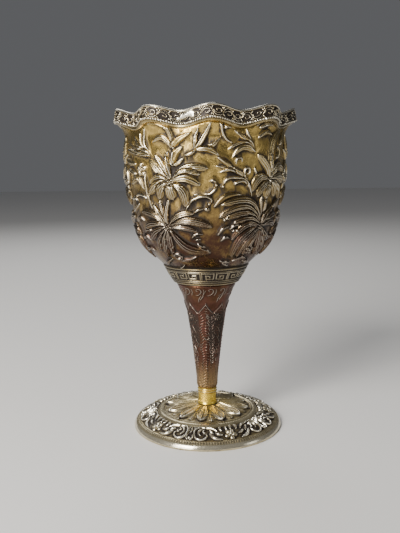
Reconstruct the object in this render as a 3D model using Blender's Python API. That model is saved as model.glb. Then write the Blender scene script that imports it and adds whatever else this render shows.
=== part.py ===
"""Silver-gilt goblet: scalloped bowl with flowers in high relief, key collar, trumpet stem,
ferrule and round foot. Metres, +Z up, standing on the plane z = 0, its front towards -Y."""

import math

import bpy
import numpy as np

MM = 0.001

# Overall sizes
GAP = 0.3 * MM
FOOT_RADIUS = 41.3 * MM
FOOT_HEIGHT = 11.6 * MM
FERRULE_HEIGHT = 9.0 * MM
STEM_HEIGHT = 60.0 * MM
COLLAR_HEIGHT = 10.2 * MM
WALL_HEIGHT = 71.5 * MM
BAND_HEIGHT = 8.0 * MM

FERRULE_Z = FOOT_HEIGHT + GAP
STEM_Z = FERRULE_Z + FERRULE_HEIGHT + GAP
COLLAR_Z = STEM_Z + STEM_HEIGHT + GAP
BOWL_Z = COLLAR_Z + COLLAR_HEIGHT + GAP

# Bowl
BOWL_SEAT_RADIUS = 23.7 * MM
BOWL_RADIUS = 42.2 * MM
BOWL_WALL = 1.0 * MM
BOWL_FLOOR = 1.3 * MM
NOTCH_RADIUS = 43.0 * MM
LIP_ROLL = 0.75 * MM
LOBES = 9
LOBE_RISE = 1.45 * MM
# How far each lobe stands out beyond the notches, at the wall's end, at the beads and at the lip
LOBE_AT_WALL = 2.6 * MM
LOBE_AT_BEADS = 5.8 * MM
LOBE_AT_LIP = 4.0 * MM
LOBE_START = 5.5 * MM
LOBE_TURN = math.radians(4)
# The wall's outline as shares of its height and of the bowl's radius
WALL_CURVE = ((0.0, None), (0.053, 0.652), (0.207, 0.824), (0.441, 0.931), (0.685, 0.988), (1.0, 1.0))
BEAD_SIZE = 0.65 * MM
BEAD_PLACE = 0.26
MOULDING_PLACE = 0.09
FLOOR_ROUNDING = 0.8 * MM

# Collar
COLLAR_TOP_RADIUS = 23.4 * MM
COLLAR_LOW_RADIUS = 17.3 * MM
COLLAR_WALL = 1.6 * MM
KEY_UNITS = 18
KEY_RELIEF = 0.45 * MM

# Stem
STEM_TOP_RADIUS = 16.7 * MM
STEM_LOW_RADIUS = 5.2 * MM
STEM_WALL = 1.1 * MM
# The stem's outline as shares of its height and of the difference between its two radii
STEM_CURVE = ((0.0, 0.0), (0.18, 0.08), (0.35, 0.185), (0.52, 0.29), (0.62, 0.37), (0.75, 0.49),
              (0.84, 0.63), (0.95, 0.85), (1.0, 1.0))
STEM_LEAVES = 8
LEAF_TURN = math.radians(-3)
LEAF_VALLEY = 0.74
LEAF_TIP = 0.83
STEM_SCROLLS = 14
TENON_RADIUS = 3.6 * MM
TENON_LENGTH = 4.5 * MM
TENON_CLEARANCE = 0.3 * MM
STEM_BORE = 2.4 * MM

# Ferrule
FERRULE_RADIUS = 5.1 * MM
FERRULE_RING = 0.55 * MM

# Foot
FOOT_WALL = 1.2 * MM
BOSS_RADIUS = 6.2 * MM
DOME_RADIUS = 25.0 * MM
DOME_EDGE_HEIGHT = 8.6 * MM
RING_RADIUS = 28.0 * MM
RING_HEIGHT = 7.7 * MM
BAND_EDGE_RADIUS = 37.9 * MM
BAND_EDGE_HEIGHT = 4.0 * MM
BAND_BULGE = 0.5 * MM
BEVEL_RADIUS = 40.2 * MM
BEVEL_HEIGHT = 2.8 * MM
EDGE_HEIGHT = 1.0 * MM
EDGE_CHAMFER = 0.3 * MM
REST_WIDTH = 2.6 * MM
RING_BULGE = 0.5 * MM
RING_LINE = 0.4 * MM
FOOT_PETALS = 12
PETAL_TURN = math.radians(-10)
PETAL_END = 0.88
FOOT_SCROLLS = 5
SCROLL_TURN = math.radians(-16)
SERRATIONS = 72
TOOTH_HEIGHT = 0.35 * MM

# Carving heights
PETAL_RELIEF = 2.0 * MM
LEAF_RELIEF = 1.35 * MM
STEM_RELIEF = 0.45 * MM
FOOT_RELIEF = 1.0 * MM
FOOT_PETAL_RELIEF = 1.4 * MM
SOFTENING = 0.45

# Triangles that each finished piece keeps
BOWL_FACES = 6250
FOOT_FACES = 1850
STEM_FACES = 760
COLLAR_FACES = 720

# The bowl's ornament is laid out on a flat map: across is the distance around a circle of MAP_RADIUS
# from the front, positive towards +X, and up runs along the wall, from its seat to its end.
MAP_RADIUS = 42.0
MAP_START = 3.7
MAP_END = 79.6
MAP_ROUND = 2 * math.pi * MAP_RADIUS

# Each petal or leaf: direction in degrees, reach, sideways bend, width, ribs
FLOWER_UPPER_LEFT = (-17.8, 52.6, (
    (100, 14.1, -0.4, 2.8, 0), (121, 15.9, -0.8, 3.6, 2), (137, 16.1, 0.1, 5.0, 4), (20, 19.7, 3.5, 4.6, 3),
    (15, 15.1, 2.8, 3.8, 3), (355, 14.9, 2.7, 4.6, 2), (183, 12.5, -3.1, 3.4, 1), (203, 15.0, -2.1, 4.6, 3),
    (301, 13.5, 2.9, 5.4, 4), (227, 10.9, -1.9, 5.6, 4), (274, 8.2, -0.7, 6.8, 5)))
FLOWER_UPPER_RIGHT = (36.0, 52.8, (
    (87, 13.2, -0.2, 3.2, 1), (125, 15.6, -1.6, 4.4, 3), (18, 15.7, 4.5, 4.6, 3), (356, 16.5, 2.4, 4.8, 3),
    (203, 12.5, -4.4, 5.2, 4), (323, 15.6, 2.3, 4.6, 3), (225, 11.0, -1.4, 4.8, 4), (307, 10.3, 1.7, 4.8, 4),
    (261, 8.7, 0.0, 6.0, 5)))
FLOWER_LOWER_LEFT = (-21.6, 30.2, (
    (106, 13.9, -0.3, 2.6, 1), (82, 14.3, 0.9, 2.4, 1), (127, 15.0, -0.6, 2.8, 1), (26, 16.7, 2.3, 4.2, 3),
    (159, 20.3, -2.7, 4.4, 3), (1, 24.4, 3.2, 4.8, 4), (182, 18.4, -2.1, 4.4, 3), (354, 16.7, 1.1, 3.2, 2),
    (204, 17.5, -1.4, 4.6, 3), (227, 18.8, -0.8, 5.2, 4), (246, 19.3, -0.7, 5.2, 4), (263, 15.3, 0.0, 4.6, 3),
    (330, 27.6, -4.6, 6.4, 3)))
FLOWER_LOWER_RIGHT = (33.4, 29.8, (
    (155, 27.9, -7.4, 4.8, 3), (168, 27.2, -7.1, 4.6, 3), (168, 23.7, -4.5, 4.0, 3),
    (172, 18.4, -3.1, 3.4, 2), (47, 12.3, 1.9, 4.8, 2), (20, 16.0, 1.7, 3.6, 2), (199, 19.4, -4.5, 4.4, 3),
    (357, 17.1, 2.2, 4.0, 2), (227, 23.6, -5.4, 5.6, 4), (236, 20.9, -3.2, 4.8, 3), (246, 17.5, -0.9, 4.4, 3),
    (330, 16.3, -0.8, 4.4, 3), (307, 19.9, -0.5, 5.0, 4), (287, 18.0, -0.7, 5.0, 4)))
SPRAYS = (
    (-5.0, 68.0, ((81, 10.3, 0.8, 2.2, 1), (57, 13.9, -0.3, 2.8, 1), (26, 13.8, -1.8, 2.6, 1),
                  (346, 11.7, 1.7, 3.4, 1), (200, 6.5, 0.8, 2.2, 0))),
    (-16.4, 69.0, ((141, 16.4, -6.2, 3.6, 3), (168, 11.6, -3.7, 3.2, 2), (40, 12.3, 1.3, 4.2, 1))),
    (-16.0, 60.5, ((88, 9.0, 0.2, 1.6, 0), (61, 10.7, 1.7, 4.4, 1), (38, 7.3, -0.5, 2.0, 1),
                   (107, 8.1, 1.6, 2.0, 0))),
    (-28.6, 65.6, ((103, 13.3, 2.8, 3.0, 1), (122, 13.9, 2.8, 3.0, 1), (139, 16.9, 2.2, 3.2, 1),
                   (159, 18.7, 0.7, 3.2, 1), (178, 10.0, -2.2, 2.4, 0), (171, 22.7, 0.1, 3.0, 1))),
    (25.2, 66.6, ((112, 13.8, 0.7, 2.0, 0), (135, 16.5, -0.8, 3.2, 1), (175, 14.9, -4.2, 2.6, 1),
                  (191, 12.8, -3.8, 3.2, 2))),
)
# Single leaves: across, up, then the same five values
LOOSE_LEAVES = (
    (24.0, 46.5, 145, 24.2, -4.4, 2.8, 1), (13.0, 59.2, 145, 9.5, -0.2, 2.6, 0),
    (14.5, 57.2, 179, 7.9, -1.3, 2.0, 0), (35.2, 61.6, 60, 20.5, 2.5, 5.0, 3),
    (45.0, 70.5, 56, 10.7, -0.5, 3.6, 2), (41.5, 63.6, 85, 6.2, -1.7, 2.8, 0),
    (25.4, 79.0, 11, 9.4, 2.0, 2.8, 0), (26.8, 73.2, 7, 10.5, 1.5, 2.6, 0),
    (3.6, 40.4, 21, 16.5, 2.7, 3.2, 0), (31.6, 46.0, 275, 11.0, -0.7, 2.2, 0),
    (34.8, 45.5, 266, 10.5, 0.5, 2.2, 0), (40.6, 37.2, 30, 11.5, 1.6, 2.4, 0),
    (-33.6, 57.4, 279, 19.1, -0.6, 2.6, 0), (-52.0, 64.4, 346, 11.7, -0.6, 3.6, 2),
    (-51.0, 58.4, 338, 13.4, 1.9, 2.6, 1), (-46.5, 51.4, 347, 11.4, 4.4, 3.8, 2),
    (19.4, 9.4, 346, 16.3, 4.6, 2.6, 1), (-23.0, 12.2, 7, 17.5, -2.0, 2.6, 0),
    (-38.8, 5.8, 24, 14.0, 0.1, 2.6, 0), (6.2, 26.0, 34, 8.7, 1.5, 2.2, 0),
    (13.0, 29.0, 15, 7.0, 1.6, 2.0, 0), (8.2, 22.8, 14, 6.0, 1.7, 2.2, 0),
    (-5.6, 21.8, 327, 9.1, -0.1, 2.4, 0), (-8.6, 24.4, 18, 7.1, 1.9, 2.0, 0),
    (-47.0, 32.0, 5, 7.4, 2.3, 2.6, 0), (-41.2, 26.8, 353, 6.8, 2.4, 2.8, 0),
    (-47.0, 22.4, 357, 8.4, 2.4, 2.6, 0), (38.0, 16.5, 336, 12.1, -1.1, 2.6, 1),
    (47.0, 22.0, 357, 9.0, 1.6, 3.2, 1), (-52.0, 37.0, 25, 11.0, -0.1, 2.8, 1),
    (-53.0, 15.0, 3, 12.0, 1.7, 3.0, 1),
)
# Tendrils that curl: the points they pass through
TENDRILS = (
    ((-6.0, 46.8), (-0.2, 46.6), (3.5, 48.6), (4.9, 51.4), (3.6, 53.6), (1.8, 53.0)),
    ((24.2, 45.8), (21.5, 51.5), (16.2, 54.6), (10.4, 54.2), (8.2, 50.6)),
    ((20.5, 51.5), (17.8, 53.0), (14.8, 52.2), (14.4, 51.0)),
    ((-10.6, 39.2), (-7.6, 43.8), (-1.0, 45.9), (2.6, 44.2), (1.4, 42.2)),
    ((7.0, 80.0), (7.6, 76.4), (9.4, 73.0), (12.8, 71.2)),
)
TENDRIL_WIDTH = 1.7
# Small open flowers: across, up, petal reach
ROSETTES = ((30.3, 17.0, 3.8), (-36.0, 58.8, 3.6), (66.0, 63.0, 4.6), (-66.0, 26.0, 4.4))
ROSETTE_PETALS = 5
# The flower that fills each side, between the front's ornament and the back's
SIDE_FLOWER = (66.0, 43.0, (
    (95, 13.5, -0.6, 3.2, 1), (128, 13.0, -2.0, 4.6, 3), (52, 13.0, 2.0, 4.6, 3), (172, 12.5, -3.0, 4.8, 3),
    (8, 12.5, 3.0, 4.8, 3), (214, 12.0, -1.6, 5.2, 4), (326, 12.0, 1.6, 5.2, 4), (250, 10.5, -0.6, 5.6, 4),
    (290, 10.5, 0.6, 5.6, 4)))
SIDE_LEAVES = (
    (66.0, 30.0, 216, 15.0, -3.0, 4.6, 3), (66.0, 30.0, 324, 15.0, 3.0, 4.6, 3),
    (66.0, 31.0, 270, 17.0, 0.0, 4.4, 3), (60.0, 62.0, 122, 13.0, -2.4, 3.4, 1),
    (72.0, 62.0, 58, 13.0, 2.4, 3.4, 1), (58.0, 13.0, 350, 17.0, 3.0, 2.6, 1),
)

# Outline of a stroke along its length: the two powers of a bell that is 1 at its widest
LEAF = (0.6, 0.8)
PETAL = (0.75, 0.42)
TENDRIL = (0.12, 0.3)


def curve_through(stations, places):
    """Smooth values at the given places of a natural cubic curve through (place, value) stations."""
    x, y = np.array(stations, float).T
    n = len(x)
    h = np.diff(x)
    slopes = np.diff(y) / h
    matrix = np.eye(n)
    right = np.zeros(n)
    for i in range(1, n - 1):
        matrix[i, i - 1:i + 2] = h[i - 1], 2 * (h[i - 1] + h[i]), h[i]
        right[i] = 6 * (slopes[i] - slopes[i - 1])
    bend = np.linalg.solve(matrix, right)
    places = np.clip(np.asarray(places, float), x[0], x[-1])
    i = np.clip(np.searchsorted(x, places, side="right") - 1, 0, n - 2)
    a, b = places - x[i], x[i + 1] - places
    return ((bend[i] * b ** 3 + bend[i + 1] * a ** 3) / (6 * h[i])
            + (y[i] / h[i] - bend[i] * h[i] / 6) * b + (y[i + 1] / h[i] - bend[i + 1] * h[i] / 6) * a)


def path_through(points, per_span=14):
    """Points of a smooth path through the given ones."""
    points = np.array(points, float)
    spans = np.arange(len(points))
    places = np.linspace(0, len(points) - 1, per_span * (len(points) - 1) + 1)
    return np.stack([curve_through(np.c_[spans, points[:, k]], places) for k in (0, 1)], axis=1)


def swept(across, up, direction, reach, bend):
    """The middle line of a leaf: its root, the bent middle and its tip."""
    angle = math.radians(direction)
    along = np.array([math.cos(angle), math.sin(angle)])
    left = np.array([-along[1], along[0]])
    root = np.array([across, up])
    return root, root + along * reach / 2 + left * bend, root + along * reach


class Relief:
    """Heights over a flat map that closes on itself across, drawn one stroke over another."""

    MOAT_WIDTH = 0.45
    MOAT_DEPTH = 0.7
    STACKING = 0.35

    def __init__(self, round_length, low, high, step):
        self.columns = int(round(round_length / step))
        self.step = round_length / self.columns
        self.low = low
        self.rows = int(math.ceil((high - low) / step)) + 1
        self.height = np.zeros((self.rows, self.columns))

    def stroke(self, points, width, height, ribs=0, outline=LEAF):
        """A raised leaf, petal or tendril along a smooth path."""
        path = path_through(points)
        reach = width / 2 + 3 * self.MOAT_WIDTH
        columns = np.arange(int((path[:, 0].min() - reach) / self.step) - 1,
                            int((path[:, 0].max() + reach) / self.step) + 2)
        first = max(0, int((path[:, 1].min() - reach - self.low) / self.step))
        last = min(self.rows, int((path[:, 1].max() + reach - self.low) / self.step) + 2)
        if last <= first:
            return
        rows = np.arange(first, last)
        across, up = np.meshgrid(columns * self.step, rows * self.step + self.low)
        gaps = (across[..., None] - path[:, 0]) ** 2 + (up[..., None] - path[:, 1]) ** 2
        nearest = np.argmin(gaps, axis=-1)
        tangent = np.gradient(path, axis=0)
        tangent /= np.linalg.norm(tangent, axis=1)[:, None]
        away_x, away_y = across - path[nearest, 0], up - path[nearest, 1]
        side = tangent[nearest, 0] * away_y - tangent[nearest, 1] * away_x
        distance = np.hypot(away_x, away_y)
        share = np.clip(nearest / (len(path) - 1), 0.002, 0.998)
        grow, close = outline
        widest = grow / (grow + close)
        bell = (share / widest) ** grow * ((1 - share) / (1 - widest)) ** close
        half = width / 2 * bell
        q = np.clip(side / half, -1, 1)
        crown = (1 - np.clip(distance / half, 0, 1) ** 2) ** 0.4
        rise = 0.5 + 0.5 * np.sin(math.pi * share ** 0.8)
        grooves = 0.14 * ribs ** 0.5 * (1 - np.cos(math.pi * (ribs + 1) * (q + 1))) if ribs else 0
        inside = distance < half
        rows, columns = np.ix_(rows, columns % self.columns)
        under = self.height[rows, columns]
        raised = height * rise * crown * (1 - grooves) + self.STACKING * under
        moat = 1 - self.MOAT_DEPTH * np.exp(-((distance - half) / self.MOAT_WIDTH) ** 2)
        self.height[rows, columns] = np.where(inside, raised, under * moat)

    def leaf(self, across, up, direction, reach, bend, width, ribs, height, outline=LEAF):
        self.stroke(swept(across, up, direction, reach, bend), width, height, ribs, outline)

    def knob(self, across, up, radius, height):
        self.stroke(((across - radius, up), (across, up), (across + radius, up)),
                    2 * radius, height, 0, (0.5, 0.5))

    def soften(self, spread):
        """Smooths the heights over the given spread, in the map's own units."""
        reach = int(3 * spread / self.step)
        weights = np.exp(-(np.arange(-reach, reach + 1) * self.step / spread) ** 2 / 2)
        weights /= weights.sum()
        wide = np.pad(self.height, ((reach, reach), (0, 0)), "edge")
        wide = np.pad(wide, ((0, 0), (reach, reach)), "wrap")
        rows = sum(w * wide[k:k + self.rows] for k, w in enumerate(weights))
        self.height = sum(w * rows[:, k:k + self.columns] for k, w in enumerate(weights))

    def at(self, across, up):
        """Heights at any places, blended between the map's cells."""
        x = np.asarray(across) / self.step
        y = np.clip((np.asarray(up) - self.low) / self.step, 0, self.rows - 1.001)
        i, j = np.floor(x).astype(int), np.floor(y).astype(int)
        a, b = x - i, y - j
        i, next_i = i % self.columns, (i + 1) % self.columns
        return ((self.height[j, i] * (1 - a) + self.height[j, next_i] * a) * (1 - b)
                + (self.height[j + 1, i] * (1 - a) + self.height[j + 1, next_i] * a) * b)


def draw_flower(relief, shift, flower, height):
    across, up, petals = flower
    for petal in petals:
        relief.leaf(shift + across, up, *petal, height, PETAL)
    relief.knob(shift + across, up, 1.3, 0.9 * height)


def draw_rosette(relief, across, up, reach, height):
    for k in range(ROSETTE_PETALS):
        relief.leaf(across, up, 90 + 360 * k / ROSETTE_PETALS, reach, 0.0, 0.75 * reach, 0, height, PETAL)
    relief.knob(across, up, 0.25 * reach, height)


def draw_front(relief, shift):
    """The ornament that faces the front, and the same again behind."""
    leaf_height, petal_height = LEAF_RELIEF / MM, PETAL_RELIEF / MM
    for across, up, *shape in LOOSE_LEAVES:
        relief.leaf(shift + across, up, *shape, leaf_height)
    for tendril in TENDRILS:
        relief.stroke([(shift + x, y) for x, y in tendril], TENDRIL_WIDTH, leaf_height, 0, TENDRIL)
    for across, up, leaves in SPRAYS:
        for shape in leaves:
            relief.leaf(shift + across, up, *shape, leaf_height)
    for flower in (FLOWER_LOWER_RIGHT, FLOWER_LOWER_LEFT, FLOWER_UPPER_RIGHT, FLOWER_UPPER_LEFT):
        draw_flower(relief, shift, flower, petal_height)


def bowl_relief():
    relief = Relief(MAP_ROUND, 0.0, 90.0, 0.4)
    for shift in (0.0, MAP_ROUND / 2):
        for across, up, *shape in SIDE_LEAVES:
            relief.leaf(shift + across, up, *shape, LEAF_RELIEF / MM)
        draw_front(relief, shift)
        draw_flower(relief, shift, SIDE_FLOWER, PETAL_RELIEF / MM)
        for across, up, reach in ROSETTES:
            draw_rosette(relief, shift + across, up, reach, LEAF_RELIEF / MM)
    relief.soften(SOFTENING)
    return relief


def turned(angles, radius, height):
    """Points around the axis; angle 0 is the front, and angles grow towards +X."""
    radius, height = np.broadcast_arrays(radius, height)
    return np.stack([radius * np.sin(angles), -radius * np.cos(angles),
                     np.broadcast_to(height, angles.shape)], axis=-1)


def angles_of(count, first=0.0):
    return first + np.linspace(0, 2 * math.pi, count, endpoint=False)


def bridge(faces, first, first_count, second, second_count):
    """Faces between two rings of vertices; one count may be a multiple of the other, or 1."""
    if second_count == 1:
        faces.extend((first + j, first + (j + 1) % first_count, second) for j in range(first_count))
        return
    if first_count == 1:
        faces.extend((second + (j + 1) % second_count, second + j, first) for j in range(second_count))
        return
    if first_count == second_count:
        for j in range(first_count):
            k = (j + 1) % first_count
            faces.append((first + j, first + k, second + k, second + j))
        return
    coarse_is_second = second_count < first_count
    fine, fine_count, coarse, coarse_count = (
        (first, first_count, second, second_count) if coarse_is_second
        else (second, second_count, first, first_count))
    times = fine_count // coarse_count
    for j in range(coarse_count):
        here, after = coarse + j, coarse + (j + 1) % coarse_count
        made = []
        for m in range(times):
            a = fine + (times * j + m) % fine_count
            b = fine + (times * j + m + 1) % fine_count
            made.append((a, b, here if 2 * m < times else after))
            if m == (times - 1) // 2:
                made.append((b, after, here))
        faces.extend(made if coarse_is_second else [face[::-1] for face in made])


def shell(name, rings, closed, material):
    """One closed body from rings of points, in order along its section."""
    starts, faces, points = [], [], []
    for ring in rings:
        starts.append(len(points))
        points.extend(map(tuple, np.atleast_2d(ring)))
    counts = [len(np.atleast_2d(ring)) for ring in rings]
    pairs = list(zip(range(len(rings) - 1), range(1, len(rings))))
    if closed:
        pairs.append((len(rings) - 1, 0))
    for i, j in pairs:
        bridge(faces, starts[i], counts[i], starts[j], counts[j])
    mesh = bpy.data.meshes.new(name)
    mesh.from_pydata(points, [], faces)
    mesh.shade_smooth()
    mesh.materials.append(material)
    piece = bpy.data.objects.new(name, mesh)
    bpy.context.scene.collection.objects.link(piece)
    return piece


def thin_out(piece, wanted, carved_points):
    """Keeps about the wanted number of triangles, most of them where the carving bends."""
    piece.vertex_groups.new(name="carved").add(carved_points, 1.0, "REPLACE")
    piece.data.calc_loop_triangles()
    thinner = piece.modifiers.new("thin out", "DECIMATE")
    thinner.vertex_group = "carved"
    thinner.ratio = min(1.0, wanted / len(piece.data.loop_triangles))


def metal(name, colour, roughness):
    material = bpy.data.materials.new(name)
    material.use_nodes = True
    shader = material.node_tree.nodes["Principled BSDF"]
    shader.inputs["Base Color"].default_value = (*colour, 1.0)
    shader.inputs["Metallic"].default_value = 1.0
    shader.inputs["Roughness"].default_value = roughness
    return material


def lobe_wave(angles):
    return np.cos(LOBES * (angles - LOBE_TURN))


def eased(share):
    share = np.clip(share, 0, 1)
    return share * share * (3 - 2 * share)


def wall_outline(samples=400):
    """Radius, height and map place along the wall."""
    stations = [(place, radius if radius else BOWL_SEAT_RADIUS / BOWL_RADIUS) for place, radius in WALL_CURVE]
    share = np.linspace(0, 1, samples)
    radius = BOWL_RADIUS * curve_through(stations, share)
    height = WALL_HEIGHT * share
    length = np.concatenate([[0], np.cumsum(np.hypot(np.diff(radius), np.diff(height)))])
    return radius, BOWL_Z + height, MAP_START + (MAP_END - MAP_START) * length / length[-1]


def lobe_bulge(share, around):
    """How far the lobes push the rim outwards: share is 0 at the wall's end and 1 at the lip."""
    reach = np.interp(share, (0, BEAD_PLACE, 1), (LOBE_AT_WALL, LOBE_AT_BEADS, LOBE_AT_LIP))
    return reach * (0.5 + 0.5 * lobe_wave(around))


def band_shape(share, around):
    """Radius and height of the rim's band, without its mouldings."""
    out = BOWL_RADIUS + (NOTCH_RADIUS - BOWL_RADIUS) * share + lobe_bulge(share, around)
    return out, BOWL_Z + WALL_HEIGHT + BAND_HEIGHT * share + LOBE_RISE * lobe_wave(around)


def wall_wave(z, around):
    """What the lobes add to the wall's radius and height as it nears the band."""
    near_end = eased((z - BOWL_Z - WALL_HEIGHT + 2 * LOBE_START) / (2 * LOBE_START))
    last_part = np.clip((z - BOWL_Z - WALL_HEIGHT + LOBE_START) / LOBE_START, 0, 1) ** 1.6
    return lobe_bulge(0, around) * last_part, LOBE_RISE * lobe_wave(around) * near_end


def build_bowl(material):
    relief = bowl_relief()
    wall_rows, inner_rows = 118, 9
    angles, rim_angles = angles_of(LOBES * 42, LOBE_TURN), angles_of(LOBES * 7, LOBE_TURN)
    inner_angles = angles_of(21, LOBE_TURN)
    radius, height, place = wall_outline()
    rings = [np.array([[0, 0, BOWL_Z]]), turned(rim_angles, BOWL_SEAT_RADIUS, BOWL_Z)]
    for up in np.linspace(place[0], place[-1], wall_rows)[1:-1]:
        r, z = np.interp(up, place, radius), np.interp(up, place, height)
        run = np.interp(up + 0.3, place, radius) - np.interp(up - 0.3, place, radius)
        rise = np.interp(up + 0.3, place, height) - np.interp(up - 0.3, place, height)
        length = math.hypot(run, rise)
        fade = eased((up - place[0]) / 1.5) * eased((place[-1] - up) / 1.0)
        carved = relief.at(angles * MAP_RADIUS, up) * MM * fade
        out, lift = wall_wave(z, angles)
        rings.append(turned(angles, r + out + carved * rise / length, z - carved * run / length + lift))
    first_carved = 1 + len(rim_angles)
    carved_points = range(first_carved, first_carved + len(angles) * (wall_rows - 2))
    band_rings = ((0.0, 0.0), (MOULDING_PLACE, 0.8), (0.17, 0.0), (BEAD_PLACE, 1.1), (0.36, 0.0), (0.68, 0.0),
                  (0.92, 0.2), (1.0, 1.2))
    for share, raised in band_rings:
        r, z = band_shape(share, rim_angles)
        rings.append(turned(rim_angles, r + BEAD_SIZE * raised, z))
    r, z = band_shape(1.0, rim_angles)
    rings.append(turned(rim_angles, r, z + LIP_ROLL))
    for share in (1.0, 0.6, BEAD_PLACE, 0.0):
        r, z = band_shape(share, rim_angles)
        rings.append(turned(rim_angles, r - 1.1 * BOWL_WALL, z - 0.3 * BOWL_WALL))
    floor = BOWL_Z + BOWL_FLOOR
    for share in np.linspace(0.95, 0, inner_rows):
        up = place[0] + (place[-1] - place[0]) * share
        around = rim_angles if share > 0.9 else inner_angles
        r, z = np.interp(up, place, radius), np.interp(up, place, height)
        out, lift = wall_wave(z, around)
        deeper = BOWL_WALL * (1 + 2.2 * (1 - share) ** 6)
        rings.append(turned(around, r - deeper + out, np.maximum(z, floor + FLOOR_ROUNDING) + lift))
    rings.append(turned(inner_angles, 0.72 * BOWL_SEAT_RADIUS, floor))
    rings.append(np.array([[0, 0, floor]]))
    thin_out(shell("bowl", rings, False, material), BOWL_FACES, list(carved_points))


def collar_radius(share):
    return COLLAR_LOW_RADIUS + (COLLAR_TOP_RADIUS - COLLAR_LOW_RADIUS) * share ** 0.85


def build_collar(material):
    """A tapered tube with two raised lines above and two below a band of square keys."""
    columns, rows = KEY_UNITS * 12, 36
    angles, ends, few = angles_of(columns), angles_of(KEY_UNITS * 2), angles_of(KEY_UNITS)
    unit = angles * KEY_UNITS / (2 * math.pi) % 2
    mirrored = np.where(unit < 1, unit, 2 - unit) % 1.0
    rings = [turned(ends, collar_radius(0.0), COLLAR_Z)]
    for share in np.linspace(0, 1, rows)[1:-1]:
        lines = sum(np.exp(-((share - place) / 0.035) ** 2) for place in (0.06, 0.2, 0.76, 0.93))
        tall = (share - 0.3) / 0.36
        bars = ((np.abs(mirrored - 0.1) < 0.09) | (np.abs(mirrored - 0.88) < 0.09)) & (0 <= tall <= 1)
        bars = bars | ((mirrored > 0.1) & (mirrored < 0.9) & (0.8 < tall <= 1.05))
        bars = bars | ((mirrored > 0.4) & (mirrored < 0.9) & (-0.05 <= tall < 0.2))
        bars = bars | ((np.abs(mirrored - 0.45) < 0.09) & (0 <= tall <= 0.55))
        out = collar_radius(share) + KEY_RELIEF * (0.8 * bars + lines)
        rings.append(turned(angles, out, COLLAR_Z + COLLAR_HEIGHT * share))
    carved_points = range(len(ends), len(ends) + columns * (rows - 2))
    rings.append(turned(ends, collar_radius(1.0), COLLAR_Z + COLLAR_HEIGHT))
    for share in (1.0, 0.5, 0.0):
        rings.append(turned(few, collar_radius(share) - COLLAR_WALL, COLLAR_Z + COLLAR_HEIGHT * share))
    thin_out(shell("key_collar", rings, True, material), COLLAR_FACES, list(carved_points))


def stem_radius(share):
    return STEM_LOW_RADIUS + (STEM_TOP_RADIUS - STEM_LOW_RADIUS) * curve_through(STEM_CURVE, share)


def stem_carving(angles, share):
    """Tall upright leaves with pointed tips, side by side up the stem, and small scrolls over them."""
    turn = (angles - LEAF_TURN) * STEM_LEAVES / (2 * math.pi)
    q = np.abs((turn + 0.5) % 1 - 0.5) * 2
    edge = LEAF_VALLEY + (LEAF_TIP - LEAF_VALLEY) * (1 - q) ** 1.2
    body = (1 - 0.6 * q ** 4) * eased((edge - share) / 0.02)
    outline = 0.4 * np.exp(-((share - edge) / 0.012) ** 2)
    scrolls = 0.5 * np.clip(np.cos(STEM_SCROLLS * angles), 0, 1) * np.exp(-((share - 0.93) / 0.03) ** 2)
    return STEM_RELIEF * (body + outline + scrolls)


def build_stem(material):
    """A hollow trumpet whose lower end goes into the ferrule."""
    angles, ends, few, rows = angles_of(144), angles_of(24), angles_of(12), 64
    rings = [turned(ends, stem_radius(0.0), STEM_Z)]
    for share in np.linspace(0, 1, rows)[1:-1]:
        fade = eased(share / 0.03) * eased((1 - share) / 0.03)
        out = stem_radius(share) + stem_carving(angles, share) * fade
        rings.append(turned(angles, out, STEM_Z + STEM_HEIGHT * share))
    carved_points = range(len(ends), len(ends) + len(angles) * (rows - 2))
    rings.append(turned(ends, stem_radius(1.0), STEM_Z + STEM_HEIGHT))
    for share in (1.0, 0.93, 0.84, 0.7, 0.5, 0.25, 0.0):
        rings.append(turned(few, stem_radius(share) - STEM_WALL - (STEM_LOW_RADIUS - STEM_WALL - STEM_BORE)
                            * (1 - share) ** 8, STEM_Z + STEM_HEIGHT * share))
    rings.append(turned(few, STEM_BORE, STEM_Z - TENON_LENGTH))
    rings.append(turned(ends, TENON_RADIUS, STEM_Z - TENON_LENGTH))
    rings.append(turned(ends, TENON_RADIUS, STEM_Z))
    thin_out(shell("stem", rings, True, material), STEM_FACES, list(carved_points))


def build_ferrule(material):
    """A plain sleeve with a double ring at its top and a small flare at its bottom."""
    angles = angles_of(18)
    section = (
        (0.0, FERRULE_RADIUS + 0.9 * FERRULE_RING), (0.07, FERRULE_RADIUS + 0.5 * FERRULE_RING),
        (0.17, FERRULE_RADIUS - 0.1 * FERRULE_RING), (0.7, FERRULE_RADIUS - 0.25 * FERRULE_RING),
        (0.77, FERRULE_RADIUS + FERRULE_RING), (0.85, FERRULE_RADIUS + 0.2 * FERRULE_RING),
        (0.93, FERRULE_RADIUS + FERRULE_RING), (1.0, FERRULE_RADIUS + 0.4 * FERRULE_RING))
    rings = [turned(angles, radius, FERRULE_Z + FERRULE_HEIGHT * share) for share, radius in section]
    bore = TENON_RADIUS + TENON_CLEARANCE
    rings.append(turned(angles, bore, FERRULE_Z + FERRULE_HEIGHT))
    rings.append(turned(angles, bore, FERRULE_Z))
    shell("ferrule", rings, True, material)


def foot_top(radius):
    """Height of the foot's upper face, without its carving."""
    corners = ((BOSS_RADIUS, FOOT_HEIGHT), (DOME_RADIUS, DOME_EDGE_HEIGHT), (RING_RADIUS, RING_HEIGHT),
               (BAND_EDGE_RADIUS, BAND_EDGE_HEIGHT), (BEVEL_RADIUS, BEVEL_HEIGHT), (FOOT_RADIUS, EDGE_HEIGHT))
    radii, heights = np.array(corners).T
    band = np.clip((radius - RING_RADIUS) / (BAND_EDGE_RADIUS - RING_RADIUS), 0, 1)
    return np.interp(radius, radii, heights) + BAND_BULGE * np.sin(math.pi * band)


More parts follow.
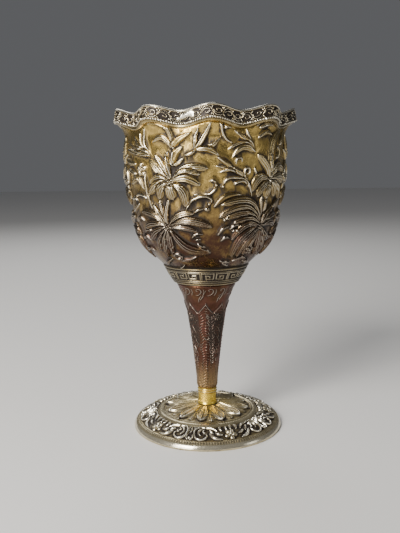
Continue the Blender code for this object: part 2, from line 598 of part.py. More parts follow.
def foot_band_relief():
    """Pairs of C-scrolls, leaves and small flowers around the foot: across is at mid band, up outwards."""
    middle = (RING_RADIUS + BAND_EDGE_RADIUS) / 2 / MM
    low, high = RING_RADIUS / MM, BAND_EDGE_RADIUS / MM
    round_length = 2 * math.pi * middle
    half, tall = round_length / FOOT_SCROLLS / 2, high - low
    relief = Relief(round_length, low, high, 0.4)
    height = FOOT_RELIEF / MM
    scroll = ((0.36, 0.1), (0.22, 0.06), (0.12, 0.26), (0.09, 0.52), (0.14, 0.8), (0.24, 0.93), (0.35, 0.87),
              (0.41, 0.66), (0.35, 0.5))
    leaves = (((0.36, 0.1), (0.55, 0.16), (0.68, 0.42)), ((0.47, 0.55), (0.6, 0.84), (0.78, 0.92)),
              ((0.8, 0.04), (0.76, 0.2), (0.8, 0.4)), ((0.95, 0.04), (0.93, 0.18), (0.95, 0.34)))
    for k in range(FOOT_SCROLLS):
        x = SCROLL_TURN * middle + 2 * k * half
        for side in (-1, 1):
            shapes = [(scroll, 0.16, TENDRIL)] + [(leaf, 0.22, LEAF) for leaf in leaves]
            for shape, width, outline in shapes:
                points = [(x + side * half * a, low + tall * b) for a, b in shape]
                relief.stroke(points, width * tall, height, 0, outline)
        draw_rosette(relief, x + half, low + 0.64 * tall, 0.33 * tall, height)
    relief.soften(SOFTENING)
    return relief, middle


def petal_carving(angles, share):
    """Ribbed petals around the foot's dome, with a second row of tips between them."""
    share = share / PETAL_END
    turn = (angles - PETAL_TURN) * FOOT_PETALS / (2 * math.pi)
    q = np.abs((turn + 0.5) % 1 - 0.5) * 2
    between = np.abs(turn % 1 - 0.5) * 2
    rounding = max(0.0, (share - 0.6) / 0.4)
    width = 0.86 * min(share / 0.6, 1) ** 0.3 * max(0.0, 1 - rounding ** 2) ** 0.6
    tip = 0.5 * math.sqrt(max(0.0, 1 - ((share - 0.7) / 0.28) ** 2))
    front = np.clip(1 - (q / max(width, 1e-6)) ** 2, 0, 1) ** 0.4 if width > 0 else 0 * q
    back = np.clip(1 - (between / max(tip, 1e-6)) ** 2, 0, 1) ** 0.4 if tip > 0 else 0 * q
    ribs = 1 - 0.25 * (0.5 - 0.5 * np.cos(2 * math.pi * q))
    return FOOT_PETAL_RELIEF * np.maximum(front * ribs, 0.45 * back) * (0.35 + 0.65 * share)


def build_foot(material):
    relief, middle = foot_band_relief()
    angles, edge_angles, few = angles_of(288), angles_of(48), angles_of(24)
    band_width, ring_width = BAND_EDGE_RADIUS - RING_RADIUS, RING_RADIUS - DOME_RADIUS
    rings = [np.array([[0, 0, FOOT_HEIGHT - FOOT_WALL]])]
    for radius in (BOSS_RADIUS, DOME_RADIUS, RING_RADIUS, RING_RADIUS + band_width / 2, BAND_EDGE_RADIUS):
        rings.append(turned(few, radius - 0.3 * FOOT_WALL, foot_top(radius) - FOOT_WALL))
    rings.append(turned(few, FOOT_RADIUS - REST_WIDTH, 0.0))
    rings.append(turned(edge_angles, FOOT_RADIUS - EDGE_CHAMFER, 0.0))
    rings.append(turned(edge_angles, FOOT_RADIUS, EDGE_CHAMFER))
    rings.append(turned(edge_angles, FOOT_RADIUS, foot_top(FOOT_RADIUS)))
    first_carved = sum(len(ring) for ring in rings)
    outline = np.concatenate([
        np.linspace(BEVEL_RADIUS, BAND_EDGE_RADIUS, 5),
        np.linspace(BAND_EDGE_RADIUS, RING_RADIUS, 22)[1:], np.linspace(RING_RADIUS, DOME_RADIUS, 7)[1:],
        np.linspace(DOME_RADIUS, BOSS_RADIUS, 34)[1:-1]])
    for radius in outline:
        z = foot_top(radius) + 0 * angles
        if radius > BAND_EDGE_RADIUS:
            tooth = 0.5 + 0.5 * np.cos(SERRATIONS * angles)
            out = (radius - BAND_EDGE_RADIUS) / (BEVEL_RADIUS - BAND_EDGE_RADIUS)
            z = z + TOOTH_HEIGHT * tooth * np.exp(-((out - 0.5) / 0.25) ** 2)
        elif radius > RING_RADIUS:
            inside = (radius - RING_RADIUS) / band_width
            fade = eased(inside / 0.1) * eased((1 - inside) / 0.1)
            z = z + relief.at(angles * middle, radius / MM) * MM * fade
        elif radius > DOME_RADIUS:
            z = z + RING_BULGE * math.sin(math.pi * (radius - DOME_RADIUS) / ring_width)
        elif radius > BOSS_RADIUS:
            z = z + petal_carving(angles, (radius - BOSS_RADIUS) / (DOME_RADIUS - BOSS_RADIUS))
            z = z + RING_LINE * np.exp(-((DOME_RADIUS - radius - RING_LINE) / RING_LINE) ** 2)
        rings.append(turned(angles, radius, z))
    carved_points = range(first_carved, sum(len(ring) for ring in rings))
    rings.append(turned(few, BOSS_RADIUS, FOOT_HEIGHT))
    rings.append(np.array([[0, 0, FOOT_HEIGHT]]))
    thin_out(shell("foot", rings, False, material), FOOT_FACES, list(carved_points))


def main():
    for old in list(bpy.data.objects):
        bpy.data.objects.remove(old, do_unlink=True)
    build_bowl(metal("chased_gilt_silver", (0.60, 0.52, 0.36), 0.36))
    build_collar(metal("key_band_silver", (0.50, 0.42, 0.30), 0.38))
    build_stem(metal("chased_stem_silver", (0.55, 0.44, 0.33), 0.36))
    build_ferrule(metal("polished_gilt", (0.86, 0.62, 0.22), 0.2))
    build_foot(metal("chased_foot_silver", (0.66, 0.60, 0.46), 0.33))


main()
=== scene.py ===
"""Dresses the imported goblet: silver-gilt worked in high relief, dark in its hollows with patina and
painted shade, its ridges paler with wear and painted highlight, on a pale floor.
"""
import math

import bpy
import numpy as np
from mathutils import Matrix, Vector


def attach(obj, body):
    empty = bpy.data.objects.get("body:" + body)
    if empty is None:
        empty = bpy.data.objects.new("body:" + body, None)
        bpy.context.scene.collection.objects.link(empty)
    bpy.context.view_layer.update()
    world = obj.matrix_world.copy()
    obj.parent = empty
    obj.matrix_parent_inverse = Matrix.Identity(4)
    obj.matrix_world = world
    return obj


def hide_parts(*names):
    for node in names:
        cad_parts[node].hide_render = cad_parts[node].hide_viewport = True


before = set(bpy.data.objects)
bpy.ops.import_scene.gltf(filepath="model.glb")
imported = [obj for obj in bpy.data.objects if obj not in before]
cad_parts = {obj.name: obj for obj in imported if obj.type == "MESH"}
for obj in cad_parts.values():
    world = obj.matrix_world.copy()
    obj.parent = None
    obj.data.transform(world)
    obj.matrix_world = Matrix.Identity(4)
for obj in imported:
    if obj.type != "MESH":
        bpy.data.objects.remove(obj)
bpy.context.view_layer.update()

MM = 0.001

# Heights at which the pieces start, and their sizes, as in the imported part
GAP = 0.3 * MM
FOOT_RADIUS = 41.3 * MM
FOOT_HEIGHT = 11.6 * MM
FERRULE_HEIGHT = 9.0 * MM
STEM_HEIGHT = 60.0 * MM
COLLAR_HEIGHT = 10.2 * MM
WALL_HEIGHT = 71.5 * MM
BAND_HEIGHT = 8.0 * MM
FERRULE_Z = FOOT_HEIGHT + GAP
STEM_Z = FERRULE_Z + FERRULE_HEIGHT + GAP
COLLAR_Z = STEM_Z + STEM_HEIGHT + GAP
BOWL_Z = COLLAR_Z + COLLAR_HEIGHT + GAP

# Bowl
BOWL_SEAT_RADIUS = 23.7 * MM
BOWL_RADIUS = 42.2 * MM
BOWL_WALL = 1.0 * MM
BOWL_FLOOR = 1.3 * MM
NOTCH_RADIUS = 43.0 * MM
LOBES = 9
LOBE_RISE = 1.45 * MM
LOBE_AT_WALL = 2.6 * MM
LOBE_AT_BEADS = 5.58 * MM
LOBE_AT_LIP = 4.0 * MM
LOBE_START = 5.5 * MM
LOBE_TURN = math.radians(4)
WALL_CURVE = ((0.0, None), (0.053, 0.652), (0.207, 0.824), (0.441, 0.931), (0.685, 0.988), (1.0, 1.0))
BEAD_PLACE = 0.26
BEADS = LOBES * 28
BEAD_RADIUS = 0.42 * MM
# Shares of the band's height at which its carving ends, and its lip starts and is polished, with a painted
# highlight
CARVING_END = 0.94
LIP_START = 0.93
LIP_EDGE = 0.95
# The band's scrolls, and the plain margin beside them in millimetres
BAND_BAYS = LOBES * 6
BAND_MARGIN = 0.75

# Collar
COLLAR_TOP_RADIUS = 23.4 * MM
COLLAR_LOW_RADIUS = 17.3 * MM
COLLAR_WALL = 1.6 * MM
KEY_UNITS = 18
KEY_TURN = math.radians(-8)
# The keys' lower edge and height in millimetres
KEY_LOW = 3.7
KEY_TALL = 3.6
# Corners of one key, as shares of its width and height
KEY_PATH = ((0.06, 0.0), (0.06, 1.0), (0.9, 1.0), (0.9, 0.14), (0.36, 0.14), (0.36, 0.62), (0.62, 0.62),
            (0.62, 0.4))
# The raised lines round the collar: height and width in millimetres
COLLAR_LINES = ((0.6, 0.34), (1.9, 0.24), (2.9, 0.22), (8.0, 0.22), (9.3, 0.4))

# Stem
STEM_TOP_RADIUS = 16.7 * MM
STEM_LOW_RADIUS = 5.2 * MM
STEM_WALL = 1.1 * MM
STEM_CURVE = ((0.0, 0.0), (0.18, 0.08), (0.35, 0.185), (0.52, 0.29), (0.62, 0.37), (0.75, 0.49),
              (0.84, 0.63), (0.95, 0.85), (1.0, 1.0))
STEM_LEAVES = 8
LEAF_TURN = math.radians(-3)
LEAF_VALLEY = 0.74
LEAF_TIP = 0.83
STEM_SCROLLS = 14
# Radius in millimetres that turns an angle into a length on the stem's map
STEM_MAP_RADIUS = 10.0
STEM_BORE = 2.4 * MM
TENON_RADIUS = 3.6 * MM
TENON_LENGTH = 4.5 * MM

# Ferrule
FERRULE_RADIUS = 5.1 * MM
FERRULE_RING = 0.55 * MM
FERRULE_BORE = 3.9 * MM
# Its rings: place as a share of its height, and size; then their spread
FERRULE_RINGS = ((0.77, 1.0), (0.93, 0.95))
RING_SPREAD = 0.035

# Foot
FOOT_WALL = 1.2 * MM
BOSS_RADIUS = 6.2 * MM
DOME_RADIUS = 25.0 * MM
DOME_EDGE_HEIGHT = 8.6 * MM
RING_RADIUS = 28.0 * MM
RING_HEIGHT = 7.7 * MM
BAND_EDGE_RADIUS = 37.9 * MM
BAND_EDGE_HEIGHT = 4.0 * MM
BAND_BULGE = 0.5 * MM
BEVEL_RADIUS = 40.2 * MM
BEVEL_HEIGHT = 2.8 * MM
EDGE_HEIGHT = 1.0 * MM
REST_WIDTH = 2.6 * MM
FOOT_PETALS = 12
PETAL_TURN = math.radians(-10)
PETAL_END = 0.88
FOOT_SCROLLS = 5
SCROLL_TURN = math.radians(-16)
TICKS = 170
# The ticks' middle, in millimetres outside the band
TICK_PLACE = 1.3

# Carving heights in millimetres
PETAL_RELIEF = 2.3
LEAF_RELIEF = 1.65
BAND_RELIEF = 0.55
KEY_RELIEF = 0.4
STEM_RELIEF = 0.55
FOOT_RELIEF = 1.1
FOOT_PETAL_RELIEF = 1.8

# Most triangles of each finished piece
BOWL_FACES = 190000
BORDER_FACES = 150000
COLLAR_FACES = 60000
STEM_FACES = 130000
FOOT_FACES = 170000

# Colours of the metals, of the painted shade low on the bowl, and of the ridges' wear and painted highlight
SILVER = (0.27, 0.228, 0.13)
GILT = (0.68, 0.48, 0.15)
GOLD = (0.8, 0.62, 0.25)
TAN = (0.3, 0.2, 0.1)
# Dark brown that the bowl goes over to towards its bottom: painted shade
PAINTED_SHADE_BROWN = (0.075, 0.038, 0.026)
DARK = (0.018, 0.012, 0.008)
# Pale colour of the ridges: wear and painted highlight
WORN_AND_HIGHLIGHT = (0.86, 0.82, 0.7, 1.0)

# The camera that matches the photo: place in metres, angles in radians, lens for a 36 mm sensor
CAMERA_PLACE = (-0.003386, -0.37392, 0.14758)
CAMERA_DOWN = 0.1547
CAMERA_ROLL = -0.0110
CAMERA_LENS = 46.55

# The ornament's flat map, in millimetres: across is the distance around a circle of MAP_RADIUS from
# the front, positive towards +X, and up is the length along the wall.
MAP_RADIUS = 42.0
MAP_START = 3.7
MAP_END = 79.6
MAP_TOP = 84.0
MAP_ROUND = 2 * math.pi * MAP_RADIUS

# Flowers and sprays: across, up, then for each petal or leaf its direction in degrees, reach,
# sideways bend, width and ribs
FLOWER_UPPER_LEFT = (-17.8, 52.6, (
    (100, 14.1, -0.4, 2.8, 0), (121, 15.9, -0.8, 3.6, 2), (137, 16.1, 0.1, 5.0, 4), (20, 19.7, 3.5, 4.6, 3),
    (15, 15.1, 2.8, 3.8, 3), (355, 14.9, 2.7, 4.6, 2), (183, 12.5, -3.1, 3.4, 1), (203, 15.0, -2.1, 4.6, 3),
    (301, 13.5, 2.9, 5.4, 4), (227, 10.9, -1.9, 5.6, 4), (274, 8.2, -0.7, 6.8, 5)))
FLOWER_UPPER_RIGHT = (36.0, 52.8, (
    (87, 13.2, -0.2, 3.2, 1), (125, 15.6, -1.6, 4.4, 3), (18, 15.7, 4.5, 4.6, 3), (356, 16.5, 2.4, 4.8, 3),
    (203, 12.5, -4.4, 5.2, 4), (323, 15.6, 2.3, 4.6, 3), (225, 11.0, -1.4, 4.8, 4), (307, 10.3, 1.7, 4.8, 4),
    (261, 8.7, 0.0, 6.0, 5)))
FLOWER_LOWER_LEFT = (-21.6, 30.2, (
    (106, 13.9, -0.3, 2.6, 1), (82, 14.3, 0.9, 2.4, 1), (127, 15.0, -0.6, 2.8, 1), (26, 16.7, 2.3, 4.2, 3),
    (159, 20.3, -2.7, 4.4, 3), (1, 24.4, 3.2, 4.8, 4), (182, 18.4, -2.1, 4.4, 3), (354, 16.7, 1.1, 3.2, 2),
    (204, 17.5, -1.4, 4.6, 3), (227, 18.8, -0.8, 5.2, 4), (246, 19.3, -0.7, 5.2, 4), (263, 15.3, 0.0, 4.6, 3),
    (330, 27.6, -4.6, 6.4, 3)))
FLOWER_LOWER_RIGHT = (33.4, 29.8, (
    (155, 27.9, -7.4, 4.8, 3), (168, 27.2, -7.1, 4.6, 3), (168, 23.7, -4.5, 4.0, 3),
    (172, 18.4, -3.1, 3.4, 2), (47, 12.3, 1.9, 4.8, 2), (20, 16.0, 1.7, 3.6, 2),
    (199, 19.4, -4.5, 4.4, 3), (357, 17.1, 2.2, 4.0, 2), (227, 23.6, -5.4, 5.6, 4),
    (236, 20.9, -3.2, 4.8, 3), (246, 17.5, -0.9, 4.4, 3), (330, 16.3, -0.8, 4.4, 3),
    (307, 19.9, -0.5, 5.0, 4), (287, 18.0, -0.7, 5.0, 4)))
SPRAYS = (
    (-5.0, 68.0, ((81, 10.3, 0.8, 2.2, 1), (57, 13.9, -0.3, 2.8, 1), (26, 13.8, -1.8, 2.6, 1),
                  (346, 11.7, 1.7, 3.4, 1), (200, 6.5, 0.8, 2.2, 0))),
    (-16.4, 69.0, ((141, 16.4, -6.2, 3.6, 3), (168, 11.6, -3.7, 3.2, 2), (40, 12.3, 1.3, 4.2, 1))),
    (-16.0, 60.5, ((88, 9.0, 0.2, 1.6, 0), (61, 10.7, 1.7, 4.4, 1), (38, 7.3, -0.5, 2.0, 1),
                   (107, 8.1, 1.6, 2.0, 0))),
    (-28.6, 65.6, ((103, 13.3, 2.8, 3.0, 1), (122, 13.9, 2.8, 3.0, 1), (139, 16.9, 2.2, 3.2, 1),
                   (159, 18.7, 0.7, 3.2, 1), (178, 10.0, -2.2, 2.4, 0), (171, 22.7, 0.1, 3.0, 1))),
    (25.2, 66.6, ((112, 13.8, 0.7, 2.0, 0), (135, 16.5, -0.8, 3.2, 1), (175, 14.9, -4.2, 2.6, 1),
                  (191, 12.8, -3.8, 3.2, 2))),
)
# Single leaves: across, up, then the same five values
LOOSE_LEAVES = (
    (24.0, 46.5, 145, 24.2, -4.4, 2.8, 1), (13.0, 59.2, 145, 9.5, -0.2, 2.6, 0),
    (14.5, 57.2, 179, 7.9, -1.3, 2.0, 0), (35.2, 61.6, 60, 20.5, 2.5, 5.0, 3),
    (45.0, 70.5, 56, 10.7, -0.5, 3.6, 2), (41.5, 63.6, 85, 6.2, -1.7, 2.8, 0),
    (25.4, 79.0, 11, 9.4, 2.0, 2.8, 0), (26.8, 73.2, 7, 10.5, 1.5, 2.6, 0),
    (3.6, 40.4, 21, 16.5, 2.7, 3.2, 0), (31.6, 46.0, 275, 11.0, -0.7, 2.2, 0),
    (34.8, 45.5, 266, 10.5, 0.5, 2.2, 0), (40.6, 37.2, 30, 11.5, 1.6, 2.4, 0),
    (-33.6, 57.4, 279, 19.1, -0.6, 2.6, 0), (-52.0, 64.4, 346, 11.7, -0.6, 3.6, 2),
    (-51.0, 58.4, 338, 13.4, 1.9, 2.6, 1), (-46.5, 51.4, 347, 11.4, 4.4, 3.8, 2),
    (19.4, 9.4, 346, 16.3, 4.6, 2.6, 1), (-23.0, 12.2, 7, 17.5, -2.0, 2.6, 0),
    (-38.8, 5.8, 24, 14.0, 0.1, 2.6, 0), (6.2, 26.0, 34, 8.7, 1.5, 2.2, 0),
    (13.0, 29.0, 15, 7.0, 1.6, 2.0, 0), (8.2, 22.8, 14, 6.0, 1.7, 2.2, 0),
    (-5.6, 21.8, 327, 9.1, -0.1, 2.4, 0), (-8.6, 24.4, 18, 7.1, 1.9, 2.0, 0),
    (-47.0, 32.0, 5, 7.4, 2.3, 2.6, 0), (-41.2, 26.8, 353, 6.8, 2.4, 2.8, 0),
    (-47.0, 22.4, 357, 8.4, 2.4, 2.6, 0), (38.0, 16.5, 336, 12.1, -1.1, 2.6, 1),
    (47.0, 22.0, 357, 9.0, 1.6, 3.2, 1), (-52.0, 37.0, 25, 11.0, -0.1, 2.8, 1),
    (-53.0, 15.0, 3, 12.0, 1.7, 3.0, 1),
    (8.4, 77.0, 22, 4.3, 1.3, 1.7, 0), (27.0, 77.6, 6, 9.1, 0.9, 1.8, 0), (9.2, 33.2, 3, 3.8, 1.7, 2.2, 0),
    (14.2, 27.8, 357, 4.4, 1.1, 1.8, 0), (9.4, 10.4, 351, 9.7, 0.0, 1.8, 0),
    (12.4, 8.3, 339, 6.9, 0.3, 1.8, 0), (29.8, 9.0, 348, 8.9, 1.1, 2.2, 0),
    (-6.8, 23.4, 6, 3.8, 0.8, 1.4, 0), (-6.6, 37.4, 21, 6.2, 1.0, 2.0, 0),
    (-49.0, 43.2, 358, 5.6, 1.3, 2.0, 0), (-44.4, 45.2, 355, 10.8, 1.8, 2.0, 0),
    (-24.6, 4.6, 20, 6.4, -0.5, 1.8, 0), (-20.6, 20.2, 265, 5.0, -1.8, 1.6, 0),
)
# Tendrils that curl: the points they pass through
TENDRILS = (
    ((-6.0, 46.8), (-0.2, 46.6), (3.5, 48.6), (4.9, 51.4), (3.6, 53.6), (1.8, 53.0)),
    ((24.2, 45.8), (21.5, 51.5), (16.2, 54.6), (10.4, 54.2), (8.2, 50.6)),
    ((20.5, 51.5), (17.8, 53.0), (14.8, 52.2), (14.4, 51.0)),
    ((-10.6, 39.2), (-7.6, 43.8), (-1.0, 45.9), (2.6, 44.2), (1.4, 42.2)),
    ((7.0, 80.0), (7.6, 76.4), (9.4, 73.0), (12.8, 71.2)),
    ((57.0, 62.5), (53.6, 58.5), (53.0, 54.5), (55.0, 52.6), (56.2, 54.0)),
    ((75.5, 61.0), (79.4, 58.0), (80.4, 54.0), (78.6, 51.8), (77.2, 53.0)),
)
TENDRIL_WIDTH = 1.7
# Small open flowers: across, up, petal reach
ROSETTES = ((30.3, 17.0, 3.8), (-36.0, 58.8, 3.6), (66.3, 68.0, 4.2))
ROSETTE_PETALS = 5
# The two flowers that fill each side, between the front's ornament and the back's
SIDE_UPPER_FLOWER = (66.5, 49.5, (
    (95, 14.0, -0.6, 3.2, 1), (126, 14.5, -2.0, 4.6, 3), (54, 13.5, 2.0, 4.6, 3), (166, 15.0, -3.4, 5.0, 3),
    (12, 14.0, 3.0, 4.8, 3), (206, 13.5, -1.6, 5.2, 4), (336, 14.0, 1.6, 5.2, 4), (238, 12.0, -0.6, 5.6, 4),
    (305, 11.0, 0.6, 5.6, 4), (272, 9.0, 0.0, 6.0, 5)))
SIDE_LOWER_FLOWER = (65.5, 27.5, (
    (118, 10.5, -0.8, 3.2, 1), (72, 10.0, 0.8, 3.0, 1), (158, 15.5, -3.0, 4.4, 3), (28, 14.5, 2.6, 4.4, 3),
    (190, 16.5, -2.6, 4.8, 3), (350, 15.5, 2.4, 4.8, 3), (217, 18.0, -2.4, 5.0, 4), (322, 17.5, 2.6, 5.0, 4),
    (243, 18.5, -1.2, 4.8, 4), (298, 18.0, 1.2, 4.8, 4), (270, 16.5, 0.0, 4.6, 3)))
SIDE_LEAVES = (
    (57.0, 62.5, 104, 14.0, -1.0, 3.4, 2), (57.0, 62.5, 138, 8.5, -1.2, 3.0, 1),
    (57.5, 62.0, 62, 12.5, 1.4, 3.2, 1), (75.5, 61.0, 78, 14.5, 1.0, 3.4, 2),
    (75.5, 61.0, 40, 8.5, 1.2, 3.0, 1), (75.0, 60.5, 118, 12.5, -1.4, 3.2, 1),
    (54.5, 38.0, 250, 9.5, -1.0, 2.8, 1), (54.0, 24.0, 285, 9.0, 1.0, 2.6, 1),
    (78.0, 31.0, 262, 9.5, 1.0, 2.8, 1), (77.5, 46.5, 80, 8.5, 0.8, 2.6, 1),
    (58.0, 11.0, 350, 15.0, 2.6, 2.6, 1), (54.0, 48.0, 95, 9.0, -0.8, 2.6, 1),
)
# Fine tendrils: width, then the points
FINE_TENDRILS = (
    (1.0, ((19.6, 54.8), (19.6, 58.6), (21.8, 59.0), (22.2, 57.0), (21.0, 56.4))),
    (1.0, ((14.8, 61.4), (15.0, 63.6), (17.3, 64.0), (17.8, 62.2))),
    (1.0, ((25.1, 59.3), (25.9, 56.8), (27.5, 55.5))),
    (1.4, ((-24.4, 13.2), (-20.4, 15.2), (-17.2, 13.2), (-19.0, 11.4))),
)
# Small knobs: across, up, radius
KNOBS = ((0.4, 39.6, 1.5), (4.9, 51.4, 0.9), (8.2, 50.6, 1.0), (1.4, 42.2, 0.9))

# Outline of a stroke along its length: the two powers of a bell that is 1 at its widest
LEAF = (0.6, 0.8)
PETAL = (0.75, 0.42)
TENDRIL = (0.12, 0.3)
LINE = (0.05, 0.05)

# One half of a pair of scrolls on the foot's band: points as shares of the half's length and of the
# band's width, then the stroke's width as a share of the band's, ribs and outline
FOOT_BAND = (
    (((0.36, 0.1), (0.55, 0.16), (0.68, 0.42)), 0.17, 1, LEAF),
    (((0.47, 0.55), (0.6, 0.84), (0.78, 0.92)), 0.17, 1, LEAF),
    (((0.8, 0.04), (0.76, 0.2), (0.8, 0.4)), 0.18, 1, LEAF),
    (((0.95, 0.04), (0.93, 0.18), (0.95, 0.34)), 0.16, 1, LEAF),
    (((0.62, 0.5), (0.7, 0.62), (0.8, 0.66)), 0.14, 1, LEAF),
    (((0.5, 0.3), (0.5, 0.42), (0.58, 0.56)), 0.13, 0, LEAF),
    (((0.03, 0.97), (0.07, 0.78), (0.05, 0.6)), 0.1, 0, LEAF),
    (((0.03, 0.05), (0.08, 0.2), (0.04, 0.42)), 0.1, 0, LEAF),
    (((0.36, 0.1), (0.22, 0.06), (0.12, 0.26), (0.09, 0.52), (0.14, 0.8), (0.24, 0.93), (0.35, 0.87),
      (0.41, 0.66), (0.35, 0.5)), 0.11, 0, TENDRIL),
    (((0.3, 0.2), (0.22, 0.34), (0.2, 0.52), (0.26, 0.68)), 0.13, 1, LEAF),
    (((0.36, 0.26), (0.31, 0.36), (0.32, 0.46)), 0.1, 0, LEAF),
)


def curve_through(stations, places):
    """Smooth values at the given places of a natural cubic curve through (place, value) stations."""
    x, y = np.array(stations, float).T
    n = len(x)
    h = np.diff(x)
    slopes = np.diff(y) / h
    matrix = np.eye(n)
    right = np.zeros(n)
    for i in range(1, n - 1):
        matrix[i, i - 1:i + 2] = h[i - 1], 2 * (h[i - 1] + h[i]), h[i]
        right[i] = 6 * (slopes[i] - slopes[i - 1])
    bend = np.linalg.solve(matrix, right)
    places = np.clip(np.asarray(places, float), x[0], x[-1])
    i = np.clip(np.searchsorted(x, places, side="right") - 1, 0, n - 2)
    a, b = places - x[i], x[i + 1] - places
    return ((bend[i] * b ** 3 + bend[i + 1] * a ** 3) / (6 * h[i])
            + (y[i] / h[i] - bend[i] * h[i] / 6) * b + (y[i + 1] / h[i] - bend[i + 1] * h[i] / 6) * a)


def path_through(points, per_span=14):
    """Points of a smooth path through the given ones."""
    points = np.array(points, float)
    spans = np.arange(len(points))
    places = np.linspace(0, len(points) - 1, per_span * (len(points) - 1) + 1)
    return np.stack([curve_through(np.c_[spans, points[:, k]], places) for k in (0, 1)], axis=1)


def swept(across, up, direction, reach, bend):
    """The middle line of a leaf: its root, the bent middle and its tip."""
    angle = math.radians(direction)
    along = np.array([math.cos(angle), math.sin(angle)])
    left = np.array([-along[1], along[0]])
    root = np.array([across, up])
    return root, root + along * reach / 2 + left * bend, root + along * reach


def moved(points, across, up=0.0):
    return [(across + x, up + y) for x, y in points]


def eased(share):
    share = np.clip(share, 0, 1)
    return share * share * (3 - 2 * share)


def bell(value, place, width, power=2):
    """1 at the place, and down to nothing beside it."""
    return np.exp(-((value - place) / width) ** power)


def smoothed(height, spread, step):
    """A map with its heights spread out; it closes on itself across."""
    reach = max(1, int(3 * spread / step))
    weights = np.exp(-(np.arange(-reach, reach + 1) * step / spread) ** 2 / 2)
    weights /= weights.sum()
    rows, columns = height.shape
    wide = np.pad(np.pad(height, ((reach, reach), (0, 0)), "edge"), ((0, 0), (reach, reach)), "wrap")
    wide = sum(w * wide[k:k + rows] for k, w in enumerate(weights))
    return sum(w * wide[:, k:k + columns] for k, w in enumerate(weights))


class Relief:
    """Heights in millimetres over a flat map that closes on itself across, drawn stroke over stroke."""

    def __init__(self, round_length, low, high, step, moat_width=0.4, moat_depth=0.75, stacking=0.35):
        self.columns = int(round(round_length / step))
        self.step = round_length / self.columns
        self.low = low
        self.rows = int(math.ceil((high - low) / step)) + 1
        self.height = np.zeros((self.rows, self.columns))
        self.moat_width, self.moat_depth, self.stacking = moat_width, moat_depth, stacking

    def places(self):
        """Across and up of every cell."""
        return np.meshgrid(np.arange(self.columns) * self.step, np.arange(self.rows) * self.step + self.low)

    def stroke(self, points, width, height, ribs=0, outline=LEAF, crown_power=0.62):
        """A raised leaf, petal, tendril or line along a smooth path."""
        path = path_through(points, 36)
        reach = width / 2 + 3 * self.moat_width
        columns = np.arange(int((path[:, 0].min() - reach) / self.step) - 1,
                            int((path[:, 0].max() + reach) / self.step) + 2)
        first = max(0, int((path[:, 1].min() - reach - self.low) / self.step))
        last = min(self.rows, int((path[:, 1].max() + reach - self.low) / self.step) + 2)
        if last <= first:
            return
        rows = np.arange(first, last)
        across, up = np.meshgrid(columns * self.step, rows * self.step + self.low)
        best = np.full(across.shape, np.inf)
        nearest = np.zeros(across.shape, int)
        for k, (x, y) in enumerate(path):
            gap = (across - x) ** 2 + (up - y) ** 2
            closer = gap < best
            best[closer] = gap[closer]
            nearest[closer] = k
        tangent = np.gradient(path, axis=0)
        tangent /= np.linalg.norm(tangent, axis=1)[:, None]
        away_x, away_y = across - path[nearest, 0], up - path[nearest, 1]
        side = tangent[nearest, 0] * away_y - tangent[nearest, 1] * away_x
        distance = np.sqrt(best)
        share = np.clip(nearest / (len(path) - 1), 0.002, 0.998)
        grow, close = outline
        widest = grow / (grow + close)
        half = width / 2 * (share / widest) ** grow * ((1 - share) / (1 - widest)) ** close
        q = np.clip(side / half, -1, 1)
        crown = (1 - np.clip(distance / half, 0, 1) ** 2) ** crown_power
        rise = 0.5 + 0.5 * np.sin(math.pi * share ** 0.8)
        ridges = np.abs(np.sin(math.pi * (ribs + 1) * (q + 1) / 2)) ** 0.7
        grooves = 0.42 * (1 - ridges) * eased(4 * share) if ribs else 0
        inside = distance < half
        rows, columns = np.ix_(rows, columns % self.columns)
        under = self.height[rows, columns]
        raised = height * rise * crown * (1 - grooves) + self.stacking * under
        moat = 1 - self.moat_depth * bell(distance, half, self.moat_width)
        self.height[rows, columns] = np.where(inside, raised, under * moat)

    def leaf(self, across, up, direction, reach, bend, width, ribs, height, outline=LEAF):
        self.stroke(swept(across, up, direction, reach, bend), width, height, ribs, outline)

    def knob(self, across, up, radius, height):
        self.stroke(((across - radius, up), (across, up), (across + radius, up)),
                    2 * radius, height, 0, (0.5, 0.5))

    def sample(self, values, across, up):
        """Values at any places, blended between the map's cells."""
        x = np.asarray(across) / self.step
        y = np.clip((np.asarray(up) - self.low) / self.step, 0, self.rows - 1.001)
        i, j = np.floor(x).astype(int), np.floor(y).astype(int)
        a, b = x - i, y - j
        i, next_i = i % self.columns, (i + 1) % self.columns
        return ((values[j, i] * (1 - a) + values[j, next_i] * a) * (1 - b)
                + (values[j + 1, i] * (1 - a) + values[j + 1, next_i] * a) * b)

    def marks(self, fine, broad, depth):
        """What the finish reads: how deep each cell lies in a hollow, how sharp a ridge it is, and
        how far it is raised, each from 0 to 1. The finish darkens the hollows with patina and with painted
        shadow, as the broad part of the hollow mark lays a dark halo on the ground beside raised work, and
        it makes the ridges paler with wear and with painted highlight."""
        near = smoothed(self.height, fine, self.step) - self.height
        far = smoothed(self.height, broad, self.step) - self.height
        # The broad term paints shadow round raised work, over the patina of the narrow hollows
        hollow = np.clip((near * 2.4 + far * 0.85) / depth, 0, 1)
        ridge = np.clip(-(near * 4.0 + far * 0.3) / depth - 0.32, 0, 1)
        raised = np.clip(self.height / (0.45 * depth), 0, 1)
        return {"hollow": hollow, "ridge": ridge, "raised": raised}


def draw_leaves(relief, shift, leaves):
    for across, up, *shape in leaves:
        relief.leaf(shift + across, up, *shape, LEAF_RELIEF)


def draw_flower(relief, shift, flower):
    across, up, petals = flower
    for petal in petals:
        relief.leaf(shift + across, up, *petal, PETAL_RELIEF, PETAL)
    for k in range(5):
        angle = 2 * math.pi * k / 5
        x, y = shift + across + 0.9 * math.cos(angle), up + 0.9 * math.sin(angle)
        relief.knob(x, y, 0.55, 0.9 * PETAL_RELIEF)
    relief.knob(shift + across, up, 0.7, PETAL_RELIEF)


